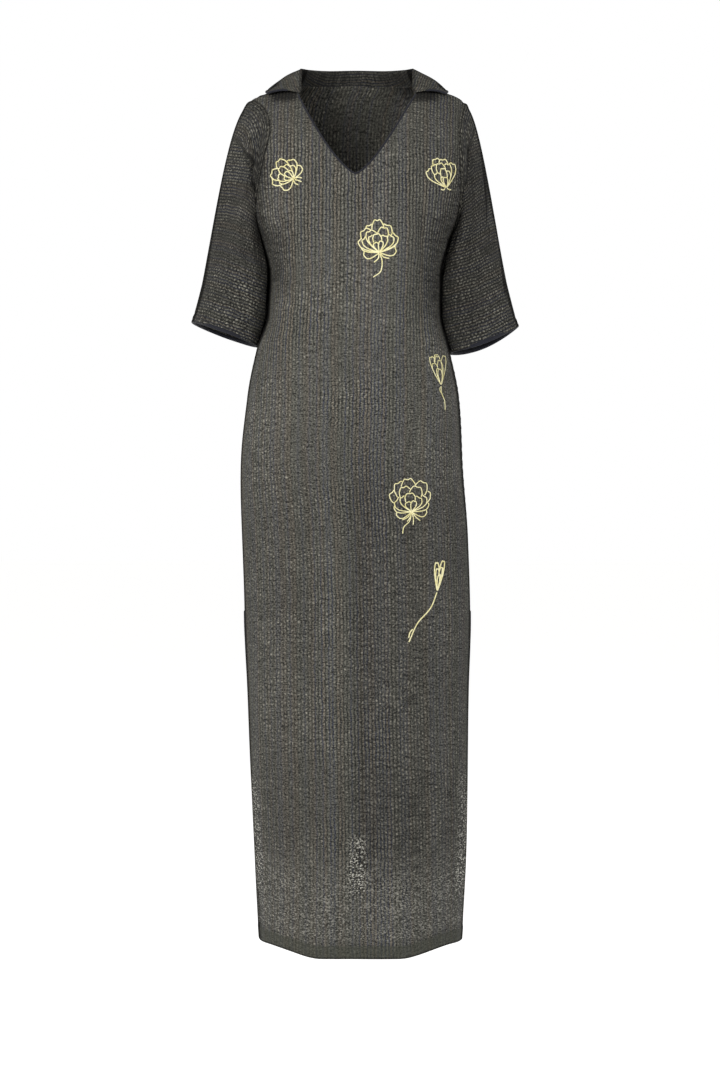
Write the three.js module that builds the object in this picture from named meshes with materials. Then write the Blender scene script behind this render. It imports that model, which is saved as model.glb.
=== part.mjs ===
// A long straight tunic dress in its worn, hollow form: a front and a back panel with high side
// slits, loose set-in sleeves to the elbow, a turned collar over a wide V neck, and narrow trims.
// Millimetres, +Z up, the front faces -Y, and the origin lies midway between the two high
// shoulder points, where the dress hangs on its wearer.
import * as THREE from 'three';

// ---- Driving sizes -------------------------------------------------------------------------
const WALL = 1.5;             // thickness of the cloth walls
const TRIM_WALL = 1.2;        // thickness of the strip along the V neck
const SEAM_GAP = 0.3;         // clearance between neighbouring pieces
const HIGH_SHOULDER = 86;     // half the distance between the high shoulder points
const SHOULDER_TIP = 158;     // half the distance between the sleeve heads
const SHOULDER_DROP = 26;     // how far the sleeve head lies below the high shoulder point
const UNDERARM = 240;         // depth of the underarm point
const NECK_POINT = 150;       // depth of the point of the V
const NECK_TOP = 24;          // depth at which the V leaves the collar
const NECK_HALF_WIDTH = 87;   // half the width of the V at its top
const NECK_POWER = 0.72;      // below 1 the edges of the V bow outward
const NECK_RISE = 8;          // how far the back neck stands above the shoulder points
const ARMHOLE_FRONT = 69;     // reach of the armhole in front of its seam line
const ARMHOLE_BACK = 64;      // reach of the armhole behind its seam line
const TURN = 9;               // how far the cloth has slipped round the chest
const SLIT_TOP = 791;         // depth of the top of the side slits
const SLIT_OPEN = 15;         // how far the back edge hangs behind the front edge at the hem
const SLIT_TUCK = 13;         // and how much closer to the middle it hangs
const LENGTH = 1293;          // depth of the front hem
const HEM_DEPTH = 19;         // height of the turned-up hem
const HEM_RISE = 17;          // how far the hem rises towards the slits
const SLEEVE_CLEAR = 4;       // distance of the sleeve's middle surface from the body's
const SLEEVE_HUG = 26;        // how far the underside of the sleeve is drawn in towards the arm
const SLEEVE_LEAVE = 0.9;     // how strongly the sleeve leaves its seam sideways
const SLEEVE_DROP = 0.16;     // and downward, all round
const SLEEVE_HEAD = 0.38;     // and further downward on its outer side than on its inner one
const BINDING_START = 0.98;   // share of the sleeve's length at which its binding begins
const BINDING_WALL = 2.4;     // thickness of that binding
const PIPING_DEPTH = 3;       // width of the edging round the collar
const PIPING_WALL = 2.2;      // thickness of that edging
const NECK_BINDING_WIDTH = 4; // width of the rolled strip along the V
const NECK_BINDING_MITRE = 1.6; // how many widths the strip reaches below the point of the V

const HALF_COLUMNS = 11;      // facets across half the front panel
const BACK_COLUMNS = 18;      // facets across the back panel
const ARMHOLE_STEPS = 10;     // facets down each edge of an armhole, before the neck point's own

// Level rings of the body. centre: sideways shift; half: half-width; front and back: depths from
// the side seams; power: 2 is an ellipse and larger is squarer. depth is measured down from the
// origin, and z is its negative.
const RINGS = [
  { depth: 0,    centre: 5,    half: HIGH_SHOULDER, front: 30, back: 62, power: 2.1 },
  { depth: SHOULDER_DROP, centre: 4, half: SHOULDER_TIP, front: 58, back: 71, power: 2.2 },
  { depth: 45,   centre: 3,    half: 167, front: 71,  back: 77,  power: 2.3 },
  { depth: 70,   centre: 2.5,  half: 172, front: 84,  back: 85,  power: 2.4 },
  { depth: 110,  centre: 2.5,  half: 175, front: 99,  back: 95,  power: 2.5 },
  { depth: NECK_POINT, centre: 2.5,  half: 172, front: 110, back: 100, power: 2.5 },
  { depth: 200,  centre: 2,    half: 159, front: 119, back: 100, power: 2.5 },
  { depth: UNDERARM, centre: 2,    half: 140, front: 122, back: 97,  power: 2.5 },
  { depth: 290,  centre: 1.5,  half: 128, front: 121, back: 92,  power: 2.5 },
  { depth: 345,  centre: 0,    half: 129, front: 117, back: 88,  power: 2.5 },
  { depth: 400,  centre: -1.5, half: 144, front: 114, back: 92,  power: 2.6 },
  { depth: 470,  centre: -1,   half: 158, front: 114, back: 103, power: 2.7 },
  { depth: 560,  centre: -3,   half: 165, front: 116, back: 111, power: 2.8 },
  { depth: 680,  centre: 2,    half: 168, front: 118, back: 111, power: 2.9 },
  { depth: SLIT_TOP, centre: 5,    half: 168, front: 120, back: 108, power: 3.0 },
  { depth: 900,  centre: 6,    half: 165, front: 121, back: 105, power: 3.1 },
  { depth: 1074, centre: 8,    half: 160, front: 122, back: 103, power: 3.2 },
  { depth: 1190, centre: 9,    half: 156, front: 123, back: 103, power: 3.2 },
  { depth: LENGTH, centre: 9,    half: 151, front: 124, back: 104, power: 3.2 },
];

// Soft upright folds. side: which panel; x: middle of the fold; wide: its half-width; top and
// end: the depths between which it runs; fade: the length over which it grows and dies away;
// out: how far it stands out, or in where negative.
const FOLDS = [
  { side: 'front', x: 22,   wide: 20, top: 500, end: 1310, fade: 140, out: -7 },
  { side: 'front', x: -20,  wide: 26, top: 540, end: 1330, fade: 140, out: 5 },
  { side: 'front', x: 66,   wide: 24, top: 620, end: 1330, fade: 140, out: 5 },
  { side: 'front', x: -92,  wide: 26, top: 800, end: 1340, fade: 140, out: -4 },
  { side: 'front', x: 118,  wide: 22, top: 720, end: 1340, fade: 140, out: -3 },
  { side: 'front', x: -72,  wide: 40, top: 150, end: 300,  fade: 60,  out: 6 },
  { side: 'front', x: 78,   wide: 40, top: 150, end: 300,  fade: 60,  out: 6 },
  { side: 'back',  x: 0,    wide: 26, top: 260, end: 1310, fade: 140, out: -7 },
  { side: 'back',  x: -60,  wide: 28, top: 560, end: 1330, fade: 140, out: 5 },
  { side: 'back',  x: 64,   wide: 28, top: 600, end: 1330, fade: 140, out: 5 },
];

// Half of the collar, from its front end to the middle of the back. along: where it is sewn on,
// from 0 at the top of the V to 1 at the middle of the back neck; roll: the top of its fold, as
// outward, backward and upward; edge: the place on the body that its free edge lies over, as
// degrees round from the front, depth, and height above the surface.
const COLLAR_STATIONS = [
  { along: 0,    roll: [84, -49, -18], edge: [54, 24, 6] },
  { along: 0.08, roll: [84, -43, 0],   edge: [70, 17, 4] },
  { along: 0.16, roll: [84, -35, 15],  edge: [87, 14.5, 3.4] },
  { along: 0.25, roll: [81, -14, 20],  edge: [106, 13.5, 3.4] },
  { along: 0.46, roll: [71, 17, 24],   edge: [133, 16, 3.4] },
  { along: 0.72, roll: [43, 48, 28],   edge: [158, 20, 3.4] },
  { along: 1,    roll: [0, 61, 31],    edge: [180, 23, 3.4] },
];
const FRONT_NECK_SHARE = 0.25; // share of the neck seam that lies on the front panel
const COLLAR_CENTRE = 4.5;     // sideways shift of the collar's middle
const COLLAR_REFINE = 2;       // facets between two stations
const COLLAR_SEAT = 1.4;       // height of the collar's lower edge above the panels' middle surface
const FALL_OUT = 5;            // how far the fall swells outward between fold and edge
const FALL_UP = 3;             // and upward
const FALL_SHARES = [0.75, 0.4]; // rows on the fall, as shares of the way from fold to edge

// The sleeves. out, back and depth: the middle of the open end; across and front: its half-widths;
// tilt: how many degrees its outer side is higher; dip: how far its front and back hang lower;
// full: how strongly the sleeve head stands out; flare: how much the sleeve widens at its end.
const SLEEVES = [
  {
    side: -1, out: 195, back: 8, depth: 376, across: 52, front: 65, tilt: 19, dip: 0, full: 0.42, flare: 0.3,
  },
  {
    side: 1, out: 195, back: 8, depth: 384, across: 56, front: 65, tilt: 20, dip: 9, full: 0.33, flare: 0.32,
  },
];

// ---- Small helpers ---------------------------------------------------------------------------
const clamp = (value, low, high) => Math.min(high, Math.max(low, value));
const smooth = (low, high, value) => {
  const t = clamp((value - low) / (high - low), 0, 1);
  return t * t * (3 - 2 * t);
};
const radians = (degrees) => degrees * Math.PI / 180;

// Reads one column of a table at a depth, by a cubic whose slopes are the means of their
// neighbours', and zero at a turning point, so that nothing overshoots.
function column(table, name, depth) {
  const d = clamp(depth, table[0].depth, table[table.length - 1].depth);
  let i = 0;
  while (i < table.length - 2 && d > table[i + 1].depth) i += 1;
  const slope = (k) => (table[k + 1][name] - table[k][name]) / (table[k + 1].depth - table[k].depth);
  const tangent = (k) => {
    if (k === 0) return slope(0);
    if (k === table.length - 1) return slope(k - 1);
    const before = slope(k - 1);
    const after = slope(k);
    return before * after <= 0 ? 0 : 2 * before * after / (before + after);
  };
  const span = table[i + 1].depth - table[i].depth;
  const t = (d - table[i].depth) / span;
  return table[i][name] * (1 + 2 * t) * (1 - t) ** 2
    + table[i + 1][name] * t * t * (3 - 2 * t)
    + tangent(i) * span * t * (1 - t) ** 2
    - tangent(i + 1) * span * t * t * (1 - t);
}

// ---- The body's surface ----------------------------------------------------------------------
const ring = (depth) => ({
  centre: column(RINGS, 'centre', depth),
  half: column(RINGS, 'half', depth),
  front: column(RINGS, 'front', depth),
  back: column(RINGS, 'back', depth),
  power: column(RINGS, 'power', depth),
});

// Half the body's width at a depth, at a distance y before (negative) or behind the side seams.
function widthAt(depth, y) {
  const r = ring(depth);
  const reach = Math.abs(y) / (y < 0 ? r.front : r.back);
  return reach >= 1 ? 0 : r.half * (1 - reach ** r.power) ** (1 / r.power);
}

// The angle round the body, from the middle of the front, of the point at (x, y) in a ring.
const angleAcross = (x, y, depth) => {
  const r = ring(depth);
  return Math.atan2(x / r.half, -y / (y < 0 ? r.front : r.back));
};
const angleAtY = (depth, y) => angleAcross(widthAt(depth, y), y, depth);
const angleAtX = (depth, x) => {
  const r = ring(depth);
  const share = Math.min(1, x / r.half);
  return Math.atan2(share, (1 - share ** r.power) ** (1 / r.power));
};

const foldOut = (side, x, depth) => FOLDS
  .filter((fold) => fold.side === side)
  .reduce((sum, fold) => {
    const across = Math.exp(-(((x - fold.x) / fold.wide) ** 2));
    const grown = smooth(fold.top, fold.top + fold.fade, depth);
    const gone = smooth(fold.end - fold.fade, fold.end, depth);
    return sum + fold.out * across * grown * (1 - gone);
  }, 0);

const slitOpening = (depth) => SLIT_OPEN * smooth(SLIT_TOP, SLIT_TOP + 260, depth);

// A point of the body: angle 0 is the middle of the front and 180 degrees the middle of the back.
function bodyPoint(angle, depth) {
  const r = ring(depth);
  const sine = Math.sin(angle);
  const cosine = Math.cos(angle);
  const scale = (Math.abs(sine) ** r.power + Math.abs(cosine) ** r.power) ** (-1 / r.power);
  const tuck = cosine > 0 ? 0 : slitOpening(depth) * SLIT_TUCK / SLIT_OPEN * Math.abs(sine) ** 3;
  const x = r.centre + (r.half * scale - tuck) * sine;
  const y = -(cosine > 0 ? r.front : r.back) * scale * cosine;
  const out = foldOut(cosine > 0 ? 'front' : 'back', x, depth) * smooth(0, 0.5, Math.abs(cosine));
  const backLift = NECK_RISE * Math.max(0, -cosine) ** 2 * (1 - smooth(0, 100, depth));
  const hemLift = HEM_RISE * smooth(0.35, 0.8, Math.abs(sine)) * smooth(LENGTH - 300, LENGTH, depth);
  return new THREE.Vector3(x + out * sine, y - out * cosine, -depth + backLift + hemLift);
}

// ---- Seam lines on the body ------------------------------------------------------------------
const seamY = (side, depth) => side * TURN * smooth(0, SHOULDER_DROP, depth)
  * (1 - smooth(UNDERARM, UNDERARM + 200, depth));
const armholeSwing = (depth) => {
  const middle = (UNDERARM + SHOULDER_DROP) / 2;
  const height = (UNDERARM - SHOULDER_DROP) / 2;
  return Math.sqrt(Math.max(0, 1 - ((depth - middle) / height) ** 2));
};
const armholeY = (side, face, depth) => {
  const reach = face === 'front' ? -ARMHOLE_FRONT : ARMHOLE_BACK;
  return seamY(side, depth) + reach * armholeSwing(depth);
};

// The angle of a panel's side edge: shoulder seam, armhole, side seam and slit in turn.
function sideAngle(side, face, depth) {
  const inArmhole = depth > SHOULDER_DROP && depth < UNDERARM;
  const y = inArmhole ? armholeY(side, face, depth) : seamY(side, depth);
  return side * angleAtY(depth, face === 'back' ? y + slitOpening(depth) : y);
}
const neckHalfWidth = (depth) => {
  const t = clamp((NECK_POINT - depth) / (NECK_POINT - NECK_TOP), 0, 1);
  return NECK_HALF_WIDTH * t ** NECK_POWER;
};
const neckAngle = (depth, extra = 0) => angleAtX(depth, neckHalfWidth(depth) + extra);

// The outward direction of the body's surface at a point.
function bodyNormal(angle, depth) {
  const step = 0.01;
  const round = bodyPoint(angle + step, depth + step).sub(bodyPoint(angle - step, depth + step));
  const down = bodyPoint(angle, depth + 2 * step).sub(bodyPoint(angle, depth));
  return down.cross(round).normalize();
}
const liftedPoint = (angle, depth, lift) => (
  bodyPoint(angle, depth).addScaledVector(bodyNormal(angle, depth), lift)
);

// The neck seam, from the top of the V (0) over the high shoulder point to the back (1).
function neckSeam(side, along, lift) {
  const depth = NECK_TOP * Math.max(0, 1 - along / FRONT_NECK_SHARE);
  const behind = Math.max(0, (along - FRONT_NECK_SHARE) / (1 - FRONT_NECK_SHARE));
  const angle = depth > 0 ? neckAngle(depth) : radians(90 + 90 * behind);
  return liftedPoint(side * angle, depth, lift);
}

// The depths of the rows that the panels and the sleeve heads share.
const armholeDepths = Array.from({ length: ARMHOLE_STEPS + 1 }, (_, i) => (
  (UNDERARM + SHOULDER_DROP) / 2 - (UNDERARM - SHOULDER_DROP) / 2 * Math.cos(Math.PI * i / ARMHOLE_STEPS)
));
const ARMHOLE_LEVELS = [...armholeDepths, NECK_POINT].sort((a, b) => a - b);
const BODY_LEVELS = [262, 290, 320, 355, 395, 440, 490, 545, 610, 675, 735, SLIT_TOP,
  860, 930, 1000, 1070, 1140, 1210, LENGTH - HEM_DEPTH - 2, LENGTH - HEM_DEPTH, LENGTH];
const PANEL_LEVELS = [0, 9, 18, ...ARMHOLE_LEVELS, ...BODY_LEVELS];
// The rows of a sleeve and of its binding, as shares of the way from seam to hem.
const SLEEVE_SHARES = [0, 0.035, 0.1, 0.19, 0.29, 0.4, 0.52, 0.64, 0.76, 0.87,
  BINDING_START];
const BINDING_SHARES = [BINDING_START, 1];

// ---- From a surface to a closed wall ----------------------------------------------------------
// A sheet holds points, the quads between them and how thick the wall is at each point.
class Sheet {
  constructor() {
    this.points = [];
    this.thickness = [];
    this.faces = [];
    this.index = new Map();
  }

  add(point, thickness) {
    const key = point.toArray().map((value) => Math.round(value * 1000)).join(' ');
    if (!this.index.has(key)) {
      this.index.set(key, this.points.length);
      this.points.push(point);
      this.thickness.push(thickness);
    }
    return this.index.get(key);
  }

  // Joins rows of points into faces whose fronts look outward; a closed row meets its own start.
  addGrid(rows, thicknessOf, closed = false) {
    const ids = rows.map((row, r) => row.map((point) => this.add(point, thicknessOf(r))));
    for (let r = 0; r + 1 < ids.length; r += 1) {
      const count = ids[r].length;
      for (let c = 0; c < (closed ? count : count - 1); c += 1) {
        const n = (c + 1) % count;
        this.addFace(ids[r][c], ids[r + 1][c], ids[r + 1][n]);
        this.addFace(ids[r][c], ids[r + 1][n], ids[r][n]);
      }
    }
  }

  addFace(a, b, c) {
    if (a !== b && b !== c && c !== a) this.faces.push([a, b, c]);
  }

  normals() {
    const normals = this.points.map(() => new THREE.Vector3());
    for (const [a, b, c] of this.faces) {
      const ab = this.points[b].clone().sub(this.points[a]);
      const ac = this.points[c].clone().sub(this.points[a]);
      const area = ab.cross(ac);
      for (const i of [a, b, c]) normals[i].add(area);
    }
    return normals.map((normal) => normal.normalize());
  }

  // The edges that only one face has, each from its start to its end.
  rim() {
    const edges = new Map();
    for (const [a, b, c] of this.faces) {
      for (const [from, to] of [[a, b], [b, c], [c, a]]) edges.set(`${from} ${to}`, [from, to]);
    }
    return [...edges.values()].filter(([from, to]) => !edges.has(`${to} ${from}`));
  }

  // The way along the surface from each rim point that moves its rim edges in by one unit.
  inward() {
    const normals = this.normals();
    const inward = this.points.map(() => new THREE.Vector3());
    for (const [from, to] of this.rim()) {
      const along = this.points[to].clone().sub(this.points[from]).normalize();
      for (const i of [from, to]) inward[i].add(normals[i].clone().cross(along).normalize());
    }
    return inward.map((sum) => (
      sum.lengthSq() > 0 ? sum.multiplyScalar(2 / Math.max(sum.lengthSq(), 1)) : sum
    ));
  }

  // Draws the rim in by half a seam gap.
  ease() {
    this.inward().forEach((direction, i) => this.points[i].addScaledVector(direction, SEAM_GAP / 2));
  }

  // Moves every point half the thickness out and in, and closes the rim between the two skins.
  toGeometry() {
    const normals = this.outward ?? this.normals();
    const count = this.points.length;
    const skins = [1, -1].flatMap((side) => this.points.map((point, i) => (
      point.clone().addScaledVector(normals[i], side * this.thickness[i] / 2)
    )));
    const triangles = [];
    for (const [a, b, c] of this.faces) triangles.push(a, b, c, a + count, c + count, b + count);
    // The shorter diagonal splits each quad of the rim, as it does on the piece across the seam.
    for (const [from, to] of this.rim()) {
      const [fromIn, toIn] = [from + count, to + count];
      if (skins[to].distanceTo(skins[fromIn]) < skins[from].distanceTo(skins[toIn])) {
        triangles.push(to, from, fromIn, to, fromIn, toIn);
      } else {
        triangles.push(to, from, toIn, from, fromIn, toIn);
      }
    }
    const positions = skins.flatMap((point) => point.toArray());
    const geometry = new THREE.BufferGeometry();
    geometry.setAttribute('position', new THREE.Float32BufferAttribute(positions, 3));
    geometry.setIndex(triangles);
    return geometry;
  }
}

// Gives points of different sheets that meet at a seam one common direction, so that the walls
// meet in a mitre and keep their gap through their whole thickness.
function mitreSeams(sheets) {
  sheets.forEach((sheet) => sheet.ease());
  const own = sheets.map((sheet) => sheet.normals());
  sheets.forEach((sheet, s) => {
    sheet.outward = sheet.points.map((point, i) => {
      const common = own[s][i].clone();
      sheets.forEach((other, o) => {
        if (o === s) return;
        const near = other.points.findIndex((p) => p.distanceTo(point) < 3 * SEAM_GAP);
        if (near >= 0) common.add(own[o][near]);
      });
      return common.normalize();
    });
  });
}

const cloth = (color, roughness) => new THREE.MeshStandardMaterial({
  color, roughness, metalness: 0,
});
const striped = cloth(0x57554f, 0.9);
const collarCloth = cloth(0x45473f, 0.9);
const navy = cloth(0x1b1e2b, 0.8);

function piece(name, geometry, material) {
  const mesh = new THREE.Mesh(geometry, material);
  mesh.name = name;
  return mesh;
}

// ---- Front and back --------------------------------------------------------------------------
const hemThickness = (r) => (PANEL_LEVELS[r] >= LENGTH - HEM_DEPTH ? 2 * WALL : WALL);
const spread = (from, to, count) => Array.from({ length: count + 1 }, (_, i) => (
  from + (to - from) * i / count
));

function frontSheet() {
  const sheet = new Sheet();
  for (const side of [-1, 1]) {
    const rows = PANEL_LEVELS.map((depth) => {
      const inner = side * neckAngle(depth);
      const outer = sideAngle(side, 'front', depth);
      const angles = spread(inner, outer, HALF_COLUMNS);
      const row = angles.map((angle) => bodyPoint(angle, depth));
      return side > 0 ? row : row.reverse();
    });
    sheet.addGrid(rows, hemThickness);
  }
  return sheet;
}

function backSheet() {
  const sheet = new Sheet();
  const rows = PANEL_LEVELS.map((depth) => {
    const from = sideAngle(1, 'back', depth);
    const to = 2 * Math.PI + sideAngle(-1, 'back', depth);
    return spread(from, to, BACK_COLUMNS).map((angle) => bodyPoint(angle, depth));
  });
  sheet.addGrid(rows, hemThickness);
  return sheet;
}

// ---- Sleeves -----------------------------------------------------------------------------------
// The armhole as a loop: from the sleeve head down its front edge and up its back edge.
function armholeLoop(side) {
  const at = (face, depth) => bodyPoint(sideAngle(side, face, depth), depth);
  const down = ARMHOLE_LEVELS.map((depth) => at('front', depth));
  const up = ARMHOLE_LEVELS.slice(1, -1).reverse().map((depth) => at('back', depth));
  return [...down, ...up];
}

// The sleeve's path from its seam to its hem at one angle round the arm: a cubic that leaves the
// seam sideways and reaches the hem along the arm, kept clear of the body beside it.
function sleevePoint(sleeve, start, turn, t) {
  const { side } = sleeve;
  const tilt = radians(sleeve.tilt);
  const across = sleeve.across * Math.cos(turn);
  const end = new THREE.Vector3(
    side * (sleeve.out + across * Math.cos(tilt)),
    sleeve.back - sleeve.front * Math.sin(turn),
    -sleeve.depth + across * Math.sin(tilt) - sleeve.dip * Math.sin(turn) ** 2,
  );
  const chord = end.distanceTo(start);
  const leave = new THREE.Vector3(side * SLEEVE_LEAVE, 0, -SLEEVE_DROP - SLEEVE_HEAD * Math.cos(turn));
  leave.setLength(sleeve.full * chord);
  const arrive = new THREE.Vector3(side * sleeve.flare, 0, -0.96).setLength(chord);
  const point = start.clone().multiplyScalar((1 + 2 * t) * (1 - t) ** 2);
  point.addScaledVector(end, t * t * (3 - 2 * t));
  point.addScaledVector(leave, t * (1 - t) ** 2);
  point.addScaledVector(arrive, -t * t * (1 - t));
  const underside = Math.max(0, -Math.cos(turn)) ** 1.5;
  point.x -= side * SLEEVE_HUG * underside * Math.sin(Math.PI * t);
  const depth = -point.z;
  const body = widthAt(depth, point.y) + SLEEVE_CLEAR * smooth(0, SLEEVE_SHARES[1], t);
  const centre = column(RINGS, 'centre', depth);
  point.x = centre + side * Math.max(side * (point.x - centre), body);
  return point;
}

function sleeveRows(sleeve, shares) {
  const loop = armholeLoop(sleeve.side);
  const turnOf = (i) => 2 * Math.PI * i / loop.length;
  return shares.map((t) => {
    const row = loop.map((start, i) => sleevePoint(sleeve, start, turnOf(i), t));
    return sleeve.side > 0 ? row.reverse() : row;
  });
}

function sleeveSheet(sleeve, shares, wall) {
  const sheet = new Sheet();
  sheet.addGrid(sleeveRows(sleeve, shares), () => wall, true);
  return sheet;
}

// ---- Collar --------------------------------------------------------------------------------------
// A smooth line through one column of the stations, from the right front end round the back to
// the left one. mirror turns the first number of an entry into that of the other half.
function collarCurve(valueOf, mirror) {
  const right = COLLAR_STATIONS.map((station) => new THREE.Vector3(...valueOf(station)));
  const left = right.slice(0, -1).reverse().map((value) => value.clone().setX(mirror(value.x)));
  const curve = new THREE.CatmullRomCurve3([...right, ...left], false, 'catmullrom', 0.5);
  return spread(0, 1, COLLAR_REFINE * (right.length + left.length - 1)).map((t) => curve.getPoint(t));
}

// Rows along the collar from its free edge up the fall and over the fold down to its seam.
function collarRows() {
  const seam = collarCurve((station) => [station.along, 0, 0], (along) => 2 - along)
    .map(({ x }) => neckSeam(x > 1 ? -1 : 1, Math.min(x, 2 - x), COLLAR_SEAT));
  const roll = collarCurve((station) => station.roll, (out) => -out);
  const edge = collarCurve((station) => station.edge, (angle) => 360 - angle)
    .map(({ x, y, z }) => liftedPoint(radians(x), y, z));
  const rows = Array.from({ length: FALL_SHARES.length + 5 }, () => []);
  seam.forEach((low, i) => {
    const top = roll[i].clone();
    top.x += COLLAR_CENTRE;
    const end = edge[i];
    const out = end.clone().sub(top).setZ(0).normalize();
    const stand = clamp((top.z - low.z) / 20, 0.1, 1);
    const fall = FALL_SHARES.map((share) => {
      const swell = Math.sin(Math.PI * share);
      const point = top.clone().lerp(end, share).addScaledVector(out, FALL_OUT * swell);
      point.z += FALL_UP * swell;
      return point;
    });
    const inner = top.clone().addScaledVector(out, -1.2 * stand);
    inner.z -= 4 * stand;
    const outer = top.clone().addScaledVector(out, 4);
    outer.z -= 1.5;
    [end, ...fall, outer, top, inner, low].forEach((point, r) => rows[r].push(point));
  });
  return rows;
}

function collarSheet(rows) {
  const sheet = new Sheet();
  sheet.addGrid(rows, () => WALL);
  return sheet;
}

// The edging carries the collar's rim on outward, from the foot of one front end round the free
// edge to the foot of the other.
function pipingSheet(collar, rows) {
  const last = rows[0].length - 1;
  const front = rows.slice(1, FALL_SHARES.length + 1);
  const path = [
    ...front.map((row) => row[0]).reverse(),
    ...rows[0],
    ...front.map((row) => row[last]),
  ].map((point) => collar.add(point, WALL));
  const inward = collar.inward();
  const inner = path.map((i) => collar.points[i].clone());
  const outer = path.map((i) => collar.points[i].clone().addScaledVector(inward[i], -PIPING_DEPTH));
  const sheet = new Sheet();
  sheet.addGrid([outer, inner], () => PIPING_WALL);
  return sheet;
}

// ---- Strip along the V -----------------------------------------------------------------------------
function neckBindingSheet() {
  const lift = WALL / 2 + 1.4 * SEAM_GAP + TRIM_WALL / 2;
  const depths = ARMHOLE_LEVELS.filter((depth) => depth < NECK_POINT);
  const edgeLine = (side, extra) => depths
    .map((depth) => liftedPoint(side * neckAngle(depth, extra), depth, lift));
  const line = (extra, point) => [
    ...edgeLine(-1, extra),
    liftedPoint(0, point, lift),
    ...edgeLine(1, extra).reverse(),
  ];
  const sheet = new Sheet();
  const outerPoint = NECK_POINT + NECK_BINDING_WIDTH * NECK_BINDING_MITRE;
  sheet.addGrid([line(0, NECK_POINT), line(NECK_BINDING_WIDTH, outerPoint)], () => TRIM_WALL);
  return sheet;
}

const rowsOfCollar = collarRows();
const collar = collarSheet(rowsOfCollar);
const sheets = {
  front: frontSheet(),
  back: backSheet(),
  sleeve_left: sleeveSheet(SLEEVES[0], SLEEVE_SHARES, WALL),
  sleeve_right: sleeveSheet(SLEEVES[1], SLEEVE_SHARES, WALL),
  cuff_binding_left: sleeveSheet(SLEEVES[0], BINDING_SHARES, BINDING_WALL),
  cuff_binding_right: sleeveSheet(SLEEVES[1], BINDING_SHARES, BINDING_WALL),
  collar,
  collar_piping: pipingSheet(collar, rowsOfCollar),
  neck_binding: neckBindingSheet(),
};
mitreSeams(Object.values(sheets));

const finishes = {
  collar: collarCloth,
  collar_piping: navy,
  neck_binding: navy,
  cuff_binding_left: navy,
  cuff_binding_right: navy,
};
const dress = new THREE.Group();
for (const [name, sheet] of Object.entries(sheets)) {
  dress.add(piece(name, sheet.toGeometry(), finishes[name] ?? striped));
}
export default dress;
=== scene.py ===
"""A long striped tunic dress in its worn form, built as an add-on's operators around a fixed frame.

The shape functions and their tables work in millimetres, with +Z up, the front facing -Y and the
origin midway between the high shoulder points. Meshes are made in metres.
"""

import math

import bpy
import numpy as np
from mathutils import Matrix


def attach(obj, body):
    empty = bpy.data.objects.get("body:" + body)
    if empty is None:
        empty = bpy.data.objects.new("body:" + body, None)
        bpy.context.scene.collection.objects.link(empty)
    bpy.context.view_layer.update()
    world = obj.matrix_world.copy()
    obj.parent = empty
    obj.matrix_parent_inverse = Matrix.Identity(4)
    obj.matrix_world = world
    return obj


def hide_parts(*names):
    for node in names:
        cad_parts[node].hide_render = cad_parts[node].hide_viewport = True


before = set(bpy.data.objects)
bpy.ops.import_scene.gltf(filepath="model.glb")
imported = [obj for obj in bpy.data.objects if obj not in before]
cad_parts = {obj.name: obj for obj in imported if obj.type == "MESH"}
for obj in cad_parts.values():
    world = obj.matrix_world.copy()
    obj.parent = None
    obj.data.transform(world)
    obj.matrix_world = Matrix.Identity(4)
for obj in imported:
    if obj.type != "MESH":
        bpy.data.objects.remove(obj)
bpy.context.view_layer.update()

bl_info = {
    "name": "Striped tunic dress",
    "version": (1, 0, 0),
    "blender": (4, 5, 0),
    "location": "3D View > Sidebar > Tunic dress",
    "description": "Builds a long striped tunic dress with a turned collar and stitched flowers",
    "category": "Mesh",
}

MM = 0.001                # metres in a millimetre
CLOTH_UV = "ClothUV"      # metres across and along the cloth's stripes
LOOK = "look"             # per corner: light that comes through, doubled cloth, and shade
SHINE = 0.25              # how strongly cloth mirrors the light

# ---- The cut, in millimetres -----------------------------------------------------------------
SHOULDER_DROP = 26        # how far the sleeve head lies below the high shoulder point
UNDERARM = 240            # depth of the underarm point
NECK_POINT = 150          # depth of the point of the V
NECK_TOP = 24             # depth at which the V leaves the collar
NECK_HALF_WIDTH = 87      # half the width of the V at its top
NECK_POWER = 0.72         # below 1 the edges of the V bow outward
NECK_RISE = 8             # how far the back neck stands above the shoulder points
ARMHOLE_FRONT = 69        # reach of the armhole in front of its seam line
ARMHOLE_BACK = 64         # and behind it
TURN = 9                  # how far the cloth has slipped round the chest
SLIT_TOP = 791            # depth of the top of the side slits
SLIT_OPEN = 15            # how far the back edge hangs behind the front edge at the hem
SLIT_TUCK = 13            # and how much closer to the middle it hangs
LENGTH = 1293             # depth of the front hem
HEM_DEPTH = 19            # height of the turned-up hem
HEM_RISE = 17             # how far the hem rises towards the slits
SLEEVE_CLEAR = 4          # distance of the sleeve's middle surface from the body's
SLEEVE_HUG = 26           # how far the underside of the sleeve is drawn in towards the arm
SLEEVE_LEAVE = 0.9        # how strongly the sleeve leaves its seam sideways
SLEEVE_DROP = 0.16        # and downward, all round
SLEEVE_HEAD = 0.38        # and further downward on its outer side
SEAM_ALLOWANCE = 10       # cloth inside each seam
HEM_ALLOWANCE = HEM_DEPTH + 8             # and behind the hem
SEAM_EDGES, HEM_EDGES = 0.85, 0.8         # share of a piece's flat box that they run along
ARMHOLE_MIDDLE = (UNDERARM + SHOULDER_DROP) / 2
ARMHOLE_HALF = (UNDERARM - SHOULDER_DROP) / 2
LOOP = 22                 # length of the count round an armhole, from the shoulder over the front
CUFF_SHARE = 0.988        # where the cuff's binding lies along the sleeve

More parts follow.
